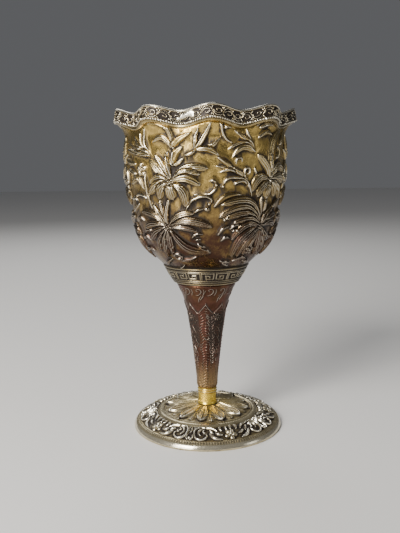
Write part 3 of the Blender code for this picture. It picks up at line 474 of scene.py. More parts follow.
def draw_rosette(relief, across, up, reach, height):
    for k in range(ROSETTE_PETALS):
        relief.leaf(across, up, 90 + 360 * k / ROSETTE_PETALS, reach, 0.0, 0.75 * reach, 1, height, PETAL)
    relief.knob(across, up, 0.25 * reach, height)


def draw_front(relief, shift):
    """The ornament that faces the front, and the same again behind."""
    draw_leaves(relief, shift, LOOSE_LEAVES)
    for tendril in TENDRILS:
        relief.stroke(moved(tendril, shift), TENDRIL_WIDTH, LEAF_RELIEF, 0, TENDRIL)
    for width, tendril in FINE_TENDRILS:
        relief.stroke(moved(tendril, shift), width, 0.8 * LEAF_RELIEF, 0, TENDRIL)
    for across, up, radius in KNOBS:
        relief.knob(shift + across, up, radius, LEAF_RELIEF)
    for across, up, leaves in SPRAYS:
        for shape in leaves:
            relief.leaf(shift + across, up, *shape, LEAF_RELIEF)
    for flower in (FLOWER_LOWER_RIGHT, FLOWER_LOWER_LEFT, FLOWER_UPPER_RIGHT, FLOWER_UPPER_LEFT):
        draw_flower(relief, shift, flower)


def bowl_relief():
    relief = Relief(MAP_ROUND, 0.0, MAP_TOP, step=0.14)
    for shift in (0.0, MAP_ROUND / 2):
        draw_leaves(relief, shift, SIDE_LEAVES)
        draw_front(relief, shift)
        draw_flower(relief, shift, SIDE_LOWER_FLOWER)
        draw_flower(relief, shift, SIDE_UPPER_FLOWER)
        for across, up, reach in ROSETTES:
            draw_rosette(relief, shift + across, up, reach, LEAF_RELIEF)
    return relief


def turned(angles, radius, height):
    """Points around the axis; angle 0 is the front, and angles grow towards +X."""
    angles, radius, height = np.broadcast_arrays(angles, radius, height)
    return np.stack([radius * np.sin(angles), -radius * np.cos(angles), height], axis=-1)


def angles_of(count):
    return np.linspace(0, 2 * math.pi, count, endpoint=False)


def pushed_out(points, heights):
    """A grid of points, rows by angles, moved along its own normals."""
    around = np.roll(points, -1, axis=1) - np.roll(points, 1, axis=1)
    along = np.gradient(points, axis=0)
    normal = np.cross(around, along)
    normal /= np.maximum(np.linalg.norm(normal, axis=2), 1e-12)[..., None]
    return points + normal * heights[..., None]


def carved(points, relief, marks, across, up, fade):
    """A block of rings with the relief on it, and its marks; across and up are places on the map."""
    points = pushed_out(points, relief.sample(relief.height, across, up) * MM * fade)
    return points, {name: relief.sample(values, across, up) for name, values in marks.items()}


def turned_piece(name, parts, closed, material):
    """One closed body from blocks of rings, each block (points, marks), in order along its section.
    A section that isn't closed starts and ends in a point on the axis."""
    points = np.concatenate([block for block, _ in parts])
    rows, columns = points.shape[:2]
    corner = np.arange(rows * columns).reshape(rows, columns)
    if closed:
        corner = np.vstack([corner, corner[:1]])
    after = np.roll(corner, -1, axis=1)
    quads = np.stack([corner[:-1], after[:-1], after[1:], corner[1:]], axis=-1).reshape(-1, 4)
    vertices = points.reshape(-1, 3)
    triangles = np.zeros((0, 3), int)
    if not closed:
        low, high = len(vertices), len(vertices) + 1
        poles = [points[k].mean(axis=0) for k in (0, -1)]
        vertices = np.vstack([vertices, poles])
        triangles = np.concatenate([
            np.stack([after[0], corner[0], np.full(columns, low)], axis=-1),
            np.stack([corner[-1], after[-1], np.full(columns, high)], axis=-1)])
    mesh = bpy.data.meshes.new(name)
    mesh.vertices.add(len(vertices))
    mesh.vertices.foreach_set("co", vertices.astype(np.float32).ravel())
    mesh.loops.add(4 * len(quads) + 3 * len(triangles))
    loop_corners = np.concatenate([quads.ravel(), triangles.ravel()])
    mesh.loops.foreach_set("vertex_index", loop_corners.astype(np.int32))
    sizes = np.concatenate([np.full(len(quads), 4), np.full(len(triangles), 3)])
    mesh.polygons.add(len(sizes))
    mesh.polygons.foreach_set("loop_start", (np.cumsum(sizes) - sizes).astype(np.int32))
    mesh.update(calc_edges=True)
    mesh.shade_smooth()
    for mark in ("hollow", "ridge", "raised"):
        values = [marks.get(mark, np.zeros(block.shape[:2])) for block, marks in parts]
        values = np.concatenate([v.ravel() for v in values] + [np.zeros(len(vertices) - rows * columns)])
        mesh.attributes.new(mark, "FLOAT", "POINT").data.foreach_set("value", values.astype(np.float32))
    mesh.materials.append(material)
    piece = bpy.data.objects.new(name, mesh)
    bpy.context.scene.collection.objects.link(piece)
    return piece


def thinned(piece, most, kept=()):
    """Keeps at most this many triangles, where the carving bends most, and all of the kept points."""
    piece.data.calc_loop_triangles()
    have = len(piece.data.loop_triangles)
    if have <= most:
        return piece
    modifier = piece.modifiers.new("thin out", "DECIMATE")
    modifier.ratio = most / have
    if len(kept):
        free = np.setdiff1d(np.arange(len(piece.data.vertices)), kept)
        piece.vertex_groups.new(name="free").add(free.tolist(), 1.0, "REPLACE")
        modifier.vertex_group = "free"
    graph = bpy.context.evaluated_depsgraph_get()
    fine = piece.data
    piece.data = bpy.data.meshes.new_from_object(piece.evaluated_get(graph))
    piece.modifiers.remove(modifier)
    piece.vertex_groups.clear()
    piece.data.name = piece.name
    bpy.data.meshes.remove(fine)
    return piece


def lobe_wave(angles):
    return np.cos(LOBES * (angles - LOBE_TURN))


def wall_outline(samples=500):
    """Radius, height and map place along the wall."""
    stations = [(place, radius if radius else BOWL_SEAT_RADIUS / BOWL_RADIUS) for place, radius in WALL_CURVE]
    share = np.linspace(0, 1, samples)
    radius = BOWL_RADIUS * curve_through(stations, share)
    height = WALL_HEIGHT * share
    length = np.concatenate([[0], np.cumsum(np.hypot(np.diff(radius), np.diff(height)))])
    return radius, BOWL_Z + height, MAP_START + (MAP_END - MAP_START) * length / length[-1]


def lobe_bulge(share, around):
    """How far the lobes push the rim outwards: share is 0 at the wall's end and 1 at the lip."""
    reach = np.interp(share, (0, BEAD_PLACE, 1), (LOBE_AT_WALL, LOBE_AT_BEADS, LOBE_AT_LIP))
    return reach * (0.5 + 0.5 * lobe_wave(around))


def band_points(share, around):
    """The rim's band without its mouldings."""
    share, around = np.broadcast_arrays(share, around)
    out = BOWL_RADIUS + (NOTCH_RADIUS - BOWL_RADIUS) * share + lobe_bulge(share, around)
    return turned(around, out, BOWL_Z + WALL_HEIGHT + BAND_HEIGHT * share + LOBE_RISE * lobe_wave(around))


def wall_points(radius, height, around):
    """The bowl's wall, which takes up the lobes as it nears the band."""
    near_end = eased((height - BOWL_Z - WALL_HEIGHT + 2 * LOBE_START) / (2 * LOBE_START))
    last_part = np.clip((height - BOWL_Z - WALL_HEIGHT + LOBE_START) / LOBE_START, 0, 1) ** 1.6
    return turned(around, radius + lobe_bulge(0, around) * last_part,
                  height + LOBE_RISE * lobe_wave(around) * near_end)


def build_bowl(material):
    columns, rows, inner_rows = 1056, 285, 40
    relief = bowl_relief()
    marks = relief.marks(fine=0.35, broad=1.6, depth=1.0)
    radius, height, place = wall_outline()
    around = angles_of(columns)[None, :]
    up = np.linspace(place[0], place[-1], rows)[:, None]
    outer = wall_points(np.interp(up, place, radius), np.interp(up, place, height), around)
    fade = eased((up - place[0]) / 1.2) * eased((place[-1] - up) / 0.8)
    outer, outer_marks = carved(outer, relief, marks, around * MAP_RADIUS, up, fade)
    outer_marks["hollow"] = np.maximum(outer_marks["hollow"], 0.8 * bell(up, place[0], 0.5))
    seat = turned(around, np.linspace(0.2, 0.98, 4)[:, None] * BOWL_SEAT_RADIUS, BOWL_Z)
    floor = BOWL_Z + BOWL_FLOOR
    share = np.linspace(1, 0, inner_rows)[:, None]
    down = place[0] + (place[-1] - place[0]) * share
    deeper = BOWL_WALL * (1 + 2.2 * (1 - share) ** 6)
    inner_height = np.maximum(np.interp(down, place, height), floor + 0.6 * MM)
    inner = wall_points(np.interp(down, place, radius) - deeper, inner_height, around)
    bottom = turned(around, np.linspace(0.8, 0.1, 6)[:, None] * BOWL_SEAT_RADIUS, floor)
    parts = ((seat, {}), (outer, outer_marks), (inner, {}), (bottom, {}))
    piece = thinned(turned_piece("carved_bowl", parts, False, material), BOWL_FACES)
    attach(piece, "root")
    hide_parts("bowl")


def band_relief():
    """Running scrolls with small leaves round the rim, and where its one broad leaf lies: up runs to
    the lip."""
    top = BAND_HEIGHT / MM
    relief = Relief(MAP_ROUND, 0.0, top, step=0.08, moat_width=0.16, moat_depth=0.85, stacking=0.2)
    low = BEAD_PLACE * top + BAND_MARGIN
    tall = top - BAND_MARGIN - low
    bay = MAP_ROUND / BAND_BAYS
    for k in range(BAND_BAYS):
        side = 1 if k % 2 else -1
        middle = LOBE_TURN * MAP_RADIUS + (k + 0.5) * bay
        centre = low + tall * (0.5 - 0.06 * side)
        stem = [(middle + bay * x, centre + side * tall * y)
                for x, y in ((-0.55, -0.1), (-0.3, 0.4), (0.0, 0.52), (0.3, 0.4), (0.55, -0.1))]
        relief.stroke(stem, 0.4, BAND_RELIEF, 0, TENDRIL)
        turns = [math.pi - side * math.radians(step) for step in range(0, 361 + 60 * (k % 3 == 0), 60)]
        reaches = np.linspace(0.42, 0.1, len(turns))
        lean = 0.35 * math.sin(1.9 * k)
        curl = [(middle + bay * reach * (math.cos(turn) + lean * math.sin(turn)),
                 centre + tall * reach * 0.8 * math.sin(turn)) for reach, turn in zip(reaches, turns)]
        relief.stroke(curl, 0.36, BAND_RELIEF, 0, TENDRIL)
        for x, y, turn, reach in ((0.42, 0.3, 50, 1.7), (-0.45, 0.25, 120, 1.6), (0.2, -0.48, -20, 1.8),
                                  (-0.12, -0.5, 200, 1.5), (0.48, -0.25, -70, 1.3)):
            relief.leaf(middle + bay * x, centre + side * tall * y, side * turn, reach, 0.2 * side, 0.5, 0,
                        BAND_RELIEF)
    before = relief.height.copy()
    broad = ((-14.2, 0.2), (-12.0, 0.45), (-9.2, 0.72), (-6.6, 0.7), (-5.2, 0.25))
    relief.stroke([(x, low + tall * y) for x, y in broad], 3.2, 1.8 * BAND_RELIEF, 0, PETAL)
    return relief, relief.height > before + 0.1


def build_border(material):
    """The rim: a plain moulding, a line of beads, a chased band and a rolled lip, inside and out."""
    columns = BEADS * 8
    relief, broad_leaf = band_relief()
    marks = relief.marks(fine=0.16, broad=0.5, depth=0.35)
    # The broad leaf takes the full ridge mark and so the palest colour: wear and painted highlight
    marks["ridge"] = np.where(broad_leaf & (marks["hollow"] < 0.3), 1.0, 0.6 * marks["ridge"])
    around = angles_of(columns)[None, :] + LOBE_TURN
    share = np.concatenate([np.linspace(-0.01, 0.19, 9), np.linspace(0.195, 0.325, 13),
                            np.linspace(0.34, 1.0, 44)])[:, None]
    up = share * BAND_HEIGHT / MM
    base = band_points(share, around)
    beading = np.abs(np.cos(BEADS / 2 * (around - LOBE_TURN))) ** 0.7
    from_middle = np.abs(share - BEAD_PLACE) * BAND_HEIGHT / BEAD_RADIUS
    bead = BEAD_RADIUS / MM * np.sqrt(np.clip(1 - from_middle ** 2, 0, 1))
    fillet = bell(share, 0.1, 0.07, 4)
    lip = 0.5 * eased((share - LIP_START) / 0.05)
    scrolls = relief.sample(relief.height, around * MAP_RADIUS, up) * eased((CARVING_END - share) / 0.05)
    heights = scrolls + bead * (0.15 + 0.85 * beading) + 0.35 * fillet + lip
    outer = pushed_out(base, heights * MM)
    outer_marks = {name: relief.sample(values, around * MAP_RADIUS, up) for name, values in marks.items()}
    on_bead = np.clip(1.4 - from_middle, 0, 1)
    beside = bell(from_middle, 1.5, 0.4)
    ground = (share > BEAD_PLACE + 0.08) & (share < LIP_START)
    dark_ground = ground * (0.9 - 0.9 * outer_marks["raised"])
    outer_marks["hollow"] = np.clip(np.maximum(outer_marks["hollow"], dark_ground) * ground + beside
                                    + on_bead * (1 - beading), 0, 1)
    # Bead tops, the plain moulding and the lip's edge take ridge marks: paler colour for wear and painted
    # highlight
    ridge = outer_marks["ridge"] + on_bead * beading + 0.2 * fillet + 0.6 * (share > LIP_EDGE)
    outer_marks["ridge"] = np.clip(ridge, 0, 1)
    outer_marks["raised"] = np.clip(outer_marks["raised"] + on_bead + fillet + (share > LIP_START), 0, 1)
    roll = np.linspace(-0.1, 1.1, 9)[:, None] * math.pi
    end = band_points(1.0, around)[0]
    outward = turned(around, 1.0, 0.0)[0]
    thick = 0.5 * (BOWL_WALL + 0.5 * MM)
    rolled = (end[None] + outward[None] * (0.5 * MM - thick + thick * np.cos(roll))[..., None]
              + np.array([0, 0, 1.0]) * (0.75 * thick * np.sin(roll))[..., None])
    back = np.linspace(1.0, 0.0, 16)[:, None]
    inner = band_points(back, around) - outward[None] * (1.05 * BOWL_WALL) - np.array([0, 0, 0.25 * MM])
    # The rolled lip takes a ridge mark too: painted highlight along its top
    lip_marks = {"ridge": np.full(rolled.shape[:2], 0.6), "raised": np.ones(rolled.shape[:2])}
    parts = ((outer, outer_marks), (rolled, lip_marks), (inner, {}))
    beaded_rows = np.flatnonzero(from_middle[:, 0] < 1.3)
    kept = np.arange(beaded_rows[0] * columns, (beaded_rows[-1] + 1) * columns)
    piece = thinned(turned_piece("beaded_border", parts, True, material), BORDER_FACES, kept)
    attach(piece, "root")


def key_relief():
    """A band of square keys, each the mirror of the next, between raised lines."""
    middle = (COLLAR_TOP_RADIUS + COLLAR_LOW_RADIUS) / 2 / MM
    relief = Relief(2 * math.pi * middle, 0.0, COLLAR_HEIGHT / MM, step=0.1)
    across, up = relief.places()
    unit = 2 * math.pi * middle / KEY_UNITS
    turn = ((across - KEY_TURN * middle) / unit) % 2
    x = np.where(turn < 1, turn, 2 - turn)
    y = (up - KEY_LOW) / KEY_TALL
    gap = np.full(x.shape, np.inf)
    for (x0, y0), (x1, y1) in zip(KEY_PATH, KEY_PATH[1:]):
        away_x = np.maximum(np.maximum(min(x0, x1) - x, x - max(x0, x1)), 0) * unit
        away_y = np.maximum(np.maximum(min(y0, y1) - y, y - max(y0, y1)), 0) * KEY_TALL
        gap = np.minimum(gap, np.maximum(away_x, away_y))
    keys = eased((0.36 - gap) / 0.14)
    lines = sum(bell(up, place, width) for place, width in COLLAR_LINES)
    relief.height = KEY_RELIEF * np.maximum(keys, np.clip(1.2 * lines, 0, 1))
    return relief, middle


def collar_radius(share):
    return COLLAR_LOW_RADIUS + (COLLAR_TOP_RADIUS - COLLAR_LOW_RADIUS) * share ** 0.85


def build_collar(material):
    relief, middle = key_relief()
    marks = relief.marks(fine=0.2, broad=0.8, depth=0.32)
    marks["hollow"] = np.clip(marks["hollow"] + 0.75 * (1 - marks["raised"]), 0, 1)
    around = angles_of(720)[None, :]
    share = np.linspace(0, 1, 96)[:, None]
    outer = turned(around, collar_radius(share), COLLAR_Z + COLLAR_HEIGHT * share)
    fade = eased(share / 0.02) * eased((1 - share) / 0.02)
    outer = carved(outer, relief, marks, around * middle, share * COLLAR_HEIGHT / MM, fade)
    back = np.linspace(1, 0, 12)[:, None]
    inner = turned(around, collar_radius(back) - COLLAR_WALL, COLLAR_Z + COLLAR_HEIGHT * back)
    piece = turned_piece("key_fret_collar", (outer, (inner, {})), True, material)
    thinned(piece, COLLAR_FACES)
    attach(piece, "root")
    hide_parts("key_collar")


def stem_radius(share):
    return STEM_LOW_RADIUS + (STEM_TOP_RADIUS - STEM_LOW_RADIUS) * curve_through(STEM_CURVE, share)


def stem_relief():
    """Upright leaves side by side up the stem, under fine scrolls: every other leaf is hatched, the
    ones between have a small flower, and a fern hangs at each hatched leaf's right.
    Across is the angle times the map's radius, and up is the height, in millimetres. The second value
    says how dark the ground is."""
    high = STEM_HEIGHT / MM
    round_length = 2 * math.pi * STEM_MAP_RADIUS
    first_leaf = LEAF_TURN * STEM_MAP_RADIUS
    relief = Relief(round_length, 0.0, high, step=0.08, moat_width=0.2, moat_depth=0.6, stacking=0.3)
    across, up = relief.places()
    unit = round_length / STEM_LEAVES
    turn = (across - first_leaf) / unit
    q = (turn + 0.5) % 1 - 0.5
    hatched = np.floor(turn + 0.5) % 2 == 0
    lean = np.where(q > 0, 1.25, 1.0)
    edge = high * (LEAF_VALLEY + (LEAF_TIP - LEAF_VALLEY) * (1 - (2 * np.abs(q)) ** 0.85) ** lean)
    inside = eased((edge - up) / 0.5)
    outline = bell(edge - up, 0.5, np.where(q > 0, 0.35, 0.6))
    waves = np.sin(2 * math.pi * (up + 8 * q * q) / 1.6 + 0.9 * np.sin(7 * q + up / 2.5))
    broken = 0.6 + 0.4 * np.sin(14 * q + 1.3 * np.sin(up / 1.7))
    hatching = 0.4 * np.clip(waves, 0, 1) * broken * np.where(hatched, 1.0, 0.7)
    vein = 0.25 * bell(q * unit, 0.0, 0.3) * (up < 0.7 * high)
    flutes = 0.3 * (0.5 + 0.5 * np.cos(4 * STEM_LEAVES * across / STEM_MAP_RADIUS)) * eased((6 - up) / 4)
    relief.height = STEM_RELIEF * (inside * (0.35 + hatching + vein) + 0.5 * outline + flutes)
    reach = bell(up, 0.58 * high, 0.2 * high, 4)
    dark = inside * reach * np.where(hatched, eased((2 * q - 0.3) / 0.3), 0.8)
    fern = ((1.7, 43.0), (2.3, 36.0), (2.9, 29.0), (3.4, 22.0), (4.0, 15.0))
    crescent = ((-1.7, 30.0), (0.0, 28.9), (1.7, 30.2))
    sprig = ((0.0, 36.8), (2.3, 34.4), (4.0, 30.8))
    flower_up = 41.8
    curl = ((0.2, 54.4), (1.3, 54.7), (2.3, 56.0), (2.3, 57.5), (1.4, 58.2), (0.7, 57.4), (1.1, 56.6))
    for k in range(0, STEM_LEAVES, 2):
        x = k * unit
        spine = path_through(moved(fern, x), 5)[1:]
        relief.stroke(spine[::4], 0.45, 0.7 * STEM_RELIEF, 0, TENDRIL)
        for place, (a, b) in enumerate(spine):
            size = (1.0 - 0.35 * place / len(spine)) * (1.0 + 0.25 * math.sin(2.3 * place + k))
            relief.leaf(a, b, 48 + 14 * math.sin(1.7 * place), 3.2 * size, -0.5, 0.7, 0, 0.8 * STEM_RELIEF)
            relief.leaf(a, b, 128 + 14 * math.sin(2.9 * place), 3.0 * size, 0.5, 0.7, 0, 0.7 * STEM_RELIEF)
        relief.stroke(moved(crescent, x), 0.8, STEM_RELIEF)
        flower = x + unit + first_leaf - 2.0
        for petal in range(8):
            relief.leaf(flower, flower_up, 20 + petal * 45, 2.3, 0.0, 0.9, 0, STEM_RELIEF, PETAL)
        relief.knob(flower, flower_up, 0.45, STEM_RELIEF)
        for a, b in ((0.0, 0.0), (0.6, -6.0), (-0.3, -11.5)):
            relief.stroke(moved(sprig, flower + a, b), 0.6, 0.9 * STEM_RELIEF)
        for a, b, direction in ((2.2, 39.5, 60), (3.2, 37.5, 50), (0.4, 31.5, 110), (2.6, 29.0, 70),
                                (0.2, 26.0, 100), (3.4, 24.0, 60), (1.2, 20.0, 95), (2.2, 15.5, 80)):
            relief.leaf(flower + a, b, direction, 3.4, 0.5, 0.9, 1, 0.8 * STEM_RELIEF)
    for k in range(STEM_LEAVES):
        x = first_leaf + k * unit
        relief.stroke(moved(((-2.2, 51.5), (-1.0, 54.0), (0.4, 58.0)), x), 0.5, 0.6 * STEM_RELIEF)
        relief.stroke(moved(((-3.0, 50.2), (-2.6, 52.4), (-1.6, 54.6)), x), 0.4, 0.5 * STEM_RELIEF)
    for k in range(STEM_SCROLLS):
        x = round_length * k / STEM_SCROLLS
        relief.stroke(moved(curl, x), 0.36, 0.5 * STEM_RELIEF, 0, LINE)
        relief.stroke(moved(((2.8, 54.2), (3.5, 56.2), (3.2, 58.3)), x), 0.32, 0.45 * STEM_RELIEF, 0, TENDRIL)
    return relief, dark


def build_stem(material):
    """A hollow trumpet whose lower end goes into the ferrule."""
    relief, dark = stem_relief()
    marks = relief.marks(fine=0.2, broad=0.7, depth=0.3)
    shown = 0.6 * eased(relief.height / (1.1 * STEM_RELIEF))
    marks["hollow"] = np.clip(marks["hollow"] + dark * (0.9 - shown), 0, 1)
    marks["ridge"] = marks["ridge"] * (1 - 0.5 * dark)
    around = angles_of(440)[None, :]
    share = np.linspace(0, 1, 400)[:, None]
    outer = turned(around, stem_radius(share), STEM_Z + STEM_HEIGHT * share)
    fade = eased(share / 0.02) * eased((1 - share) / 0.015)
    outer = carved(outer, relief, marks, around * STEM_MAP_RADIUS, share * STEM_HEIGHT / MM, fade)
    back = np.linspace(1, 0, 30)[:, None]
    narrowing = (STEM_LOW_RADIUS - STEM_WALL - STEM_BORE) * (1 - back) ** 8
    inner = turned(around, stem_radius(back) - STEM_WALL - narrowing, STEM_Z + STEM_HEIGHT * back)
    tenon = turned(around, np.array([[STEM_BORE], [TENON_RADIUS], [TENON_RADIUS]]),
                   np.array([[STEM_Z - TENON_LENGTH], [STEM_Z - TENON_LENGTH], [STEM_Z - 0.01 * MM]]))
    parts = (outer, (inner, {}), (tenon, {}))
    piece = thinned(turned_piece("chased_stem", parts, True, material), STEM_FACES)
    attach(piece, "root")
    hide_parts("stem")


def build_ferrule(material):
    """A plain sleeve with a double ring near its top and a small flare at its bottom."""
    around = angles_of(160)[None, :]
    share = np.linspace(0, 1, 70)[:, None]
    rings = sum(size * bell(share, place, RING_SPREAD) for place, size in FERRULE_RINGS)
    flare = 1.0 * eased((0.15 - share) / 0.15) ** 1.5
    radius = FERRULE_RADIUS - 0.2 * FERRULE_RING + FERRULE_RING * (rings + flare)
    outer = turned(around, radius, FERRULE_Z + FERRULE_HEIGHT * share)
    # The rings take the ridge mark: paler colour for wear and painted highlight
    marks = {"ridge": np.clip(rings, 0, 1) * np.ones_like(around),
             "hollow": 0.6 * sum(bell(share, place, 0.02) for place in (0.85, 0.71, 0.0))
             * np.ones_like(around),
             "raised": np.ones(outer.shape[:2])}
    inner = turned(around, FERRULE_BORE, FERRULE_Z + FERRULE_HEIGHT * np.linspace(1, 0, 6)[:, None])
    piece = turned_piece("ferrule_sleeve", ((outer, marks), (inner, {})), True, material)
    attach(piece, "root")
    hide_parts("ferrule")


def foot_top(radius):
    """Height of the foot's upper face, without its carving."""
    corners = ((BOSS_RADIUS, FOOT_HEIGHT), (DOME_RADIUS, DOME_EDGE_HEIGHT), (RING_RADIUS, RING_HEIGHT),
               (BAND_EDGE_RADIUS, BAND_EDGE_HEIGHT), (BEVEL_RADIUS, BEVEL_HEIGHT), (FOOT_RADIUS, EDGE_HEIGHT))
    radii, heights = np.array(corners).T
    band = np.clip((radius - RING_RADIUS) / (BAND_EDGE_RADIUS - RING_RADIUS), 0, 1)
    return np.interp(radius, radii, heights) + BAND_BULGE * np.sin(math.pi * band)


def foot_petals(share, angle):
    """The dome's petals, 1 where they are highest, and where the front ones lie; the tips of a second
    row show between them. share is 0 at the boss and 1 at the petals' ends."""
    turn = (angle - PETAL_TURN) * FOOT_PETALS / (2 * math.pi)
    q = ((turn + 0.5) % 1 - 0.5) * 2
    between = (turn % 1 - 0.5) * 2
    rounding = np.clip((share - 0.55) / 0.45, 0, 1)
    width = 0.9 * np.minimum(share / 0.6, 1) ** 0.35 * (1 - rounding ** 1.6) ** 0.8
    tip = 0.5 * np.sqrt(np.clip(1 - ((share - 0.74) / 0.26) ** 2, 0, 1))
    spread = np.abs(q) / np.maximum(width, 1e-6)
    front = np.clip(1 - spread ** 2, 0, 1) ** 0.4
    back = np.clip(1 - (between / np.maximum(tip, 1e-6)) ** 2, 0, 1) ** 0.4
    fine = np.cos(2 * math.pi * 3.5 * spread)
    ribs = 0.6 - 0.08 * fine * eased(share / 0.4) + 0.55 * bell(spread, 0.8, 0.13)
    ribs += 0.4 * bell(q, 0.0, 0.07)
    hatch = 0.5 + 0.5 * np.cos(2 * math.pi * 5 * between)
    petals = np.where(front > 0, front * ribs, back * (0.3 + 0.12 * hatch))
    return petals * (0.35 + 0.65 * np.clip(share, 0, 1)), front > 0


def foot_relief():
    """The foot's upper face: across is the distance around at mid band, and up is the radius, so that
    the petals of the dome, the scrolls of the band and the ticked edge share one map. With it come
    the map's radius, where the metal is bright and how dark it is beside that."""
    middle = (RING_RADIUS + BAND_EDGE_RADIUS) / 2 / MM
    round_length = 2 * math.pi * middle
    relief = Relief(round_length, BOSS_RADIUS / MM, FOOT_RADIUS / MM, step=0.1, moat_width=0.28,
                    moat_depth=0.85, stacking=0.25)
    low, high = RING_RADIUS / MM, BAND_EDGE_RADIUS / MM
    half, tall = round_length / FOOT_SCROLLS / 2, high - low
    for k in range(FOOT_SCROLLS):
        x = SCROLL_TURN * middle + 2 * k * half
        for side in (-1, 1):
            for shape, width, ribs, outline in FOOT_BAND:
                points = [(x + side * half * a, low + tall * b) for a, b in shape]
                relief.stroke(points, width * tall, FOOT_RELIEF, ribs, outline)
            relief.knob(x + side * half * 0.34, low + tall * 0.52, 0.55, FOOT_RELIEF)
        relief.leaf(x, low + 0.1 * tall, 90, 0.42 * tall, 0.0, 1.2, 0, FOOT_RELIEF)
        relief.knob(x, low + 0.84 * tall, 0.7, FOOT_RELIEF)
        draw_rosette(relief, x + half, low + 0.64 * tall, 0.33 * tall, FOOT_RELIEF)
    across, up = relief.places()
    angle = across / middle
    relief.height = relief.height * eased((up - low) / 0.7) * eased((high - up) / 0.5)
    dome, inner = DOME_RADIUS / MM, BOSS_RADIUS / MM
    ring_share = np.clip((up - dome) / (low - dome), 0, 1)
    relief.height += 0.6 * np.sin(math.pi * ring_share) * (up > dome) * (up < low)
    relief.height += 0.4 * bell(up, dome - 0.4, 0.3)
    ticks = 0.5 + 0.5 * np.cos(TICKS * angle)
    relief.height += 0.25 * ticks * bell(up, high + TICK_PLACE, 0.65, 4)
    relief.height += 0.22 * bell(up, high + 0.25, 0.2)
    share = np.clip((up - inner) / (dome - inner), 0, 1) / PETAL_END
    petals, front = foot_petals(share, angle)
    relief.height += FOOT_PETAL_RELIEF * petals * (up < dome)
    shaded = 0.5 * (~front & (up < dome - 0.6))
    shaded += 0.9 * (1 - ticks) ** 2 * bell(up, high + TICK_PLACE, 0.7, 4)
    return relief, middle, front | (up > dome), shaded


def build_foot(material):
    relief, middle, bright, shaded = foot_relief()
    marks = relief.marks(fine=0.25, broad=0.9, depth=0.65)
    marks["raised"] = marks["raised"] * bright
    marks["hollow"] = np.maximum(marks["hollow"], smoothed(shaded, 0.12, relief.step))
    columns = TICKS * 8
    around = angles_of(columns)[None, :]
    radius = np.concatenate([
        np.linspace(FOOT_RADIUS, BEVEL_RADIUS, 6), np.linspace(BEVEL_RADIUS, BAND_EDGE_RADIUS, 14)[1:],
        np.linspace(BAND_EDGE_RADIUS, RING_RADIUS, 62)[1:], np.linspace(RING_RADIUS, BOSS_RADIUS, 100)[1:]])
    radius = radius[:, None]
    top = turned(around, radius, foot_top(radius))
    fade = eased((FOOT_RADIUS - radius) / (1.2 * MM)) * eased((radius - BOSS_RADIUS) / (0.8 * MM))
    top, top_marks = carved(top, relief, marks, around * middle, radius / MM, fade)
    band = (radius > RING_RADIUS + 0.3 * MM) & (radius < BAND_EDGE_RADIUS - 0.2 * MM)
    top_marks["hollow"] = np.clip(top_marks["hollow"] + 0.55 * band * (1 - top_marks["raised"]), 0, 1)
    # The smooth rings and the plain edge keep at least some ridge mark: paler colour, painted highlight along
    # them
    smooth = (radius > BAND_EDGE_RADIUS + 0.4 * MM) | (radius > DOME_RADIUS) & (radius < RING_RADIUS)
    for mark, least in (("raised", 0.9), ("ridge", 0.22)):
        top_marks[mark] = np.where(smooth, np.maximum(top_marks[mark], least), top_marks[mark])
    plain = radius > BEVEL_RADIUS - 0.1 * MM
    for mark, value in (("hollow", 0.0), ("ridge", 0.45), ("raised", 1.0)):
        top_marks[mark] = np.where(plain, value, top_marks[mark])
    stations = (0.1 * BOSS_RADIUS, BOSS_RADIUS, DOME_RADIUS, RING_RADIUS,
                (RING_RADIUS + BAND_EDGE_RADIUS) / 2, BAND_EDGE_RADIUS)
    under_radius = np.interp(np.linspace(0, 5, 40), np.arange(6), stations)[:, None]
    inset = 0.3 * FOOT_WALL * (under_radius > BOSS_RADIUS)
    hollow = turned(around, under_radius - inset, foot_top(under_radius) - FOOT_WALL)
    rest = FOOT_RADIUS - np.array([[REST_WIDTH], [0.3 * MM], [0.08 * MM], [0.0]])
    edge = turned(around, rest, np.array([[0.0], [0.0], [0.08 * MM], [0.3 * MM]]))
    cap = turned(around, np.linspace(0.97, 0.1, 4)[:, None] * BOSS_RADIUS, FOOT_HEIGHT)
    parts = ((hollow, {}), (edge, {"raised": np.ones(edge.shape[:2])}), (top, top_marks), (cap, {}))
    first_row = len(hollow) + len(edge)
    ticked = np.flatnonzero((radius[:, 0] < BEVEL_RADIUS) & (radius[:, 0] > BAND_EDGE_RADIUS)) + first_row
    kept = np.arange(ticked[0] * columns, (ticked[-1] + 1) * columns)
    piece = thinned(turned_piece("carved_foot", parts, False, material), FOOT_FACES, kept)
    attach(piece, "root")
    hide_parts("foot")


def add_node(tree, kind, inputs=(), **settings):
    """A shader node; inputs maps a socket's name or number to a value or to another node's output."""
    node = tree.nodes.new(kind)
    for name, value in settings.items():
        setattr(node, name, value)
    for key, value in dict(inputs).items():
        if isinstance(value, bpy.types.NodeSocket):
            tree.links.new(value, node.inputs[key])
        else:
            node.inputs[key].default_value = value
    return node


def combined(tree, operation, a, b):
    """The two values after the operation, kept from 0 to 1."""
    return add_node(tree, "ShaderNodeMath", {0: a, 1: b}, operation=operation, use_clamp=True).outputs[0]


def ramped(tree, value, low, high, start=0.0, end=1.0):
    inputs = {"Value": value, "From Min": low, "From Max": high, "To Min": start, "To Max": end}
    return add_node(tree, "ShaderNodeMapRange", inputs, interpolation_type="SMOOTHSTEP").outputs["Result"]


def mixed(tree, share, a, b):
    return add_node(tree, "ShaderNodeMix", {0: share, 6: a, 7: b}, data_type="RGBA").outputs[2]


def noise(tree, place, scale, detail=4.0, roughness=0.55):
    inputs = {"Vector": place, "Scale": scale, "Detail": detail, "Roughness": roughness}
    return add_node(tree, "ShaderNodeTexNoise", inputs).outputs["Fac"]


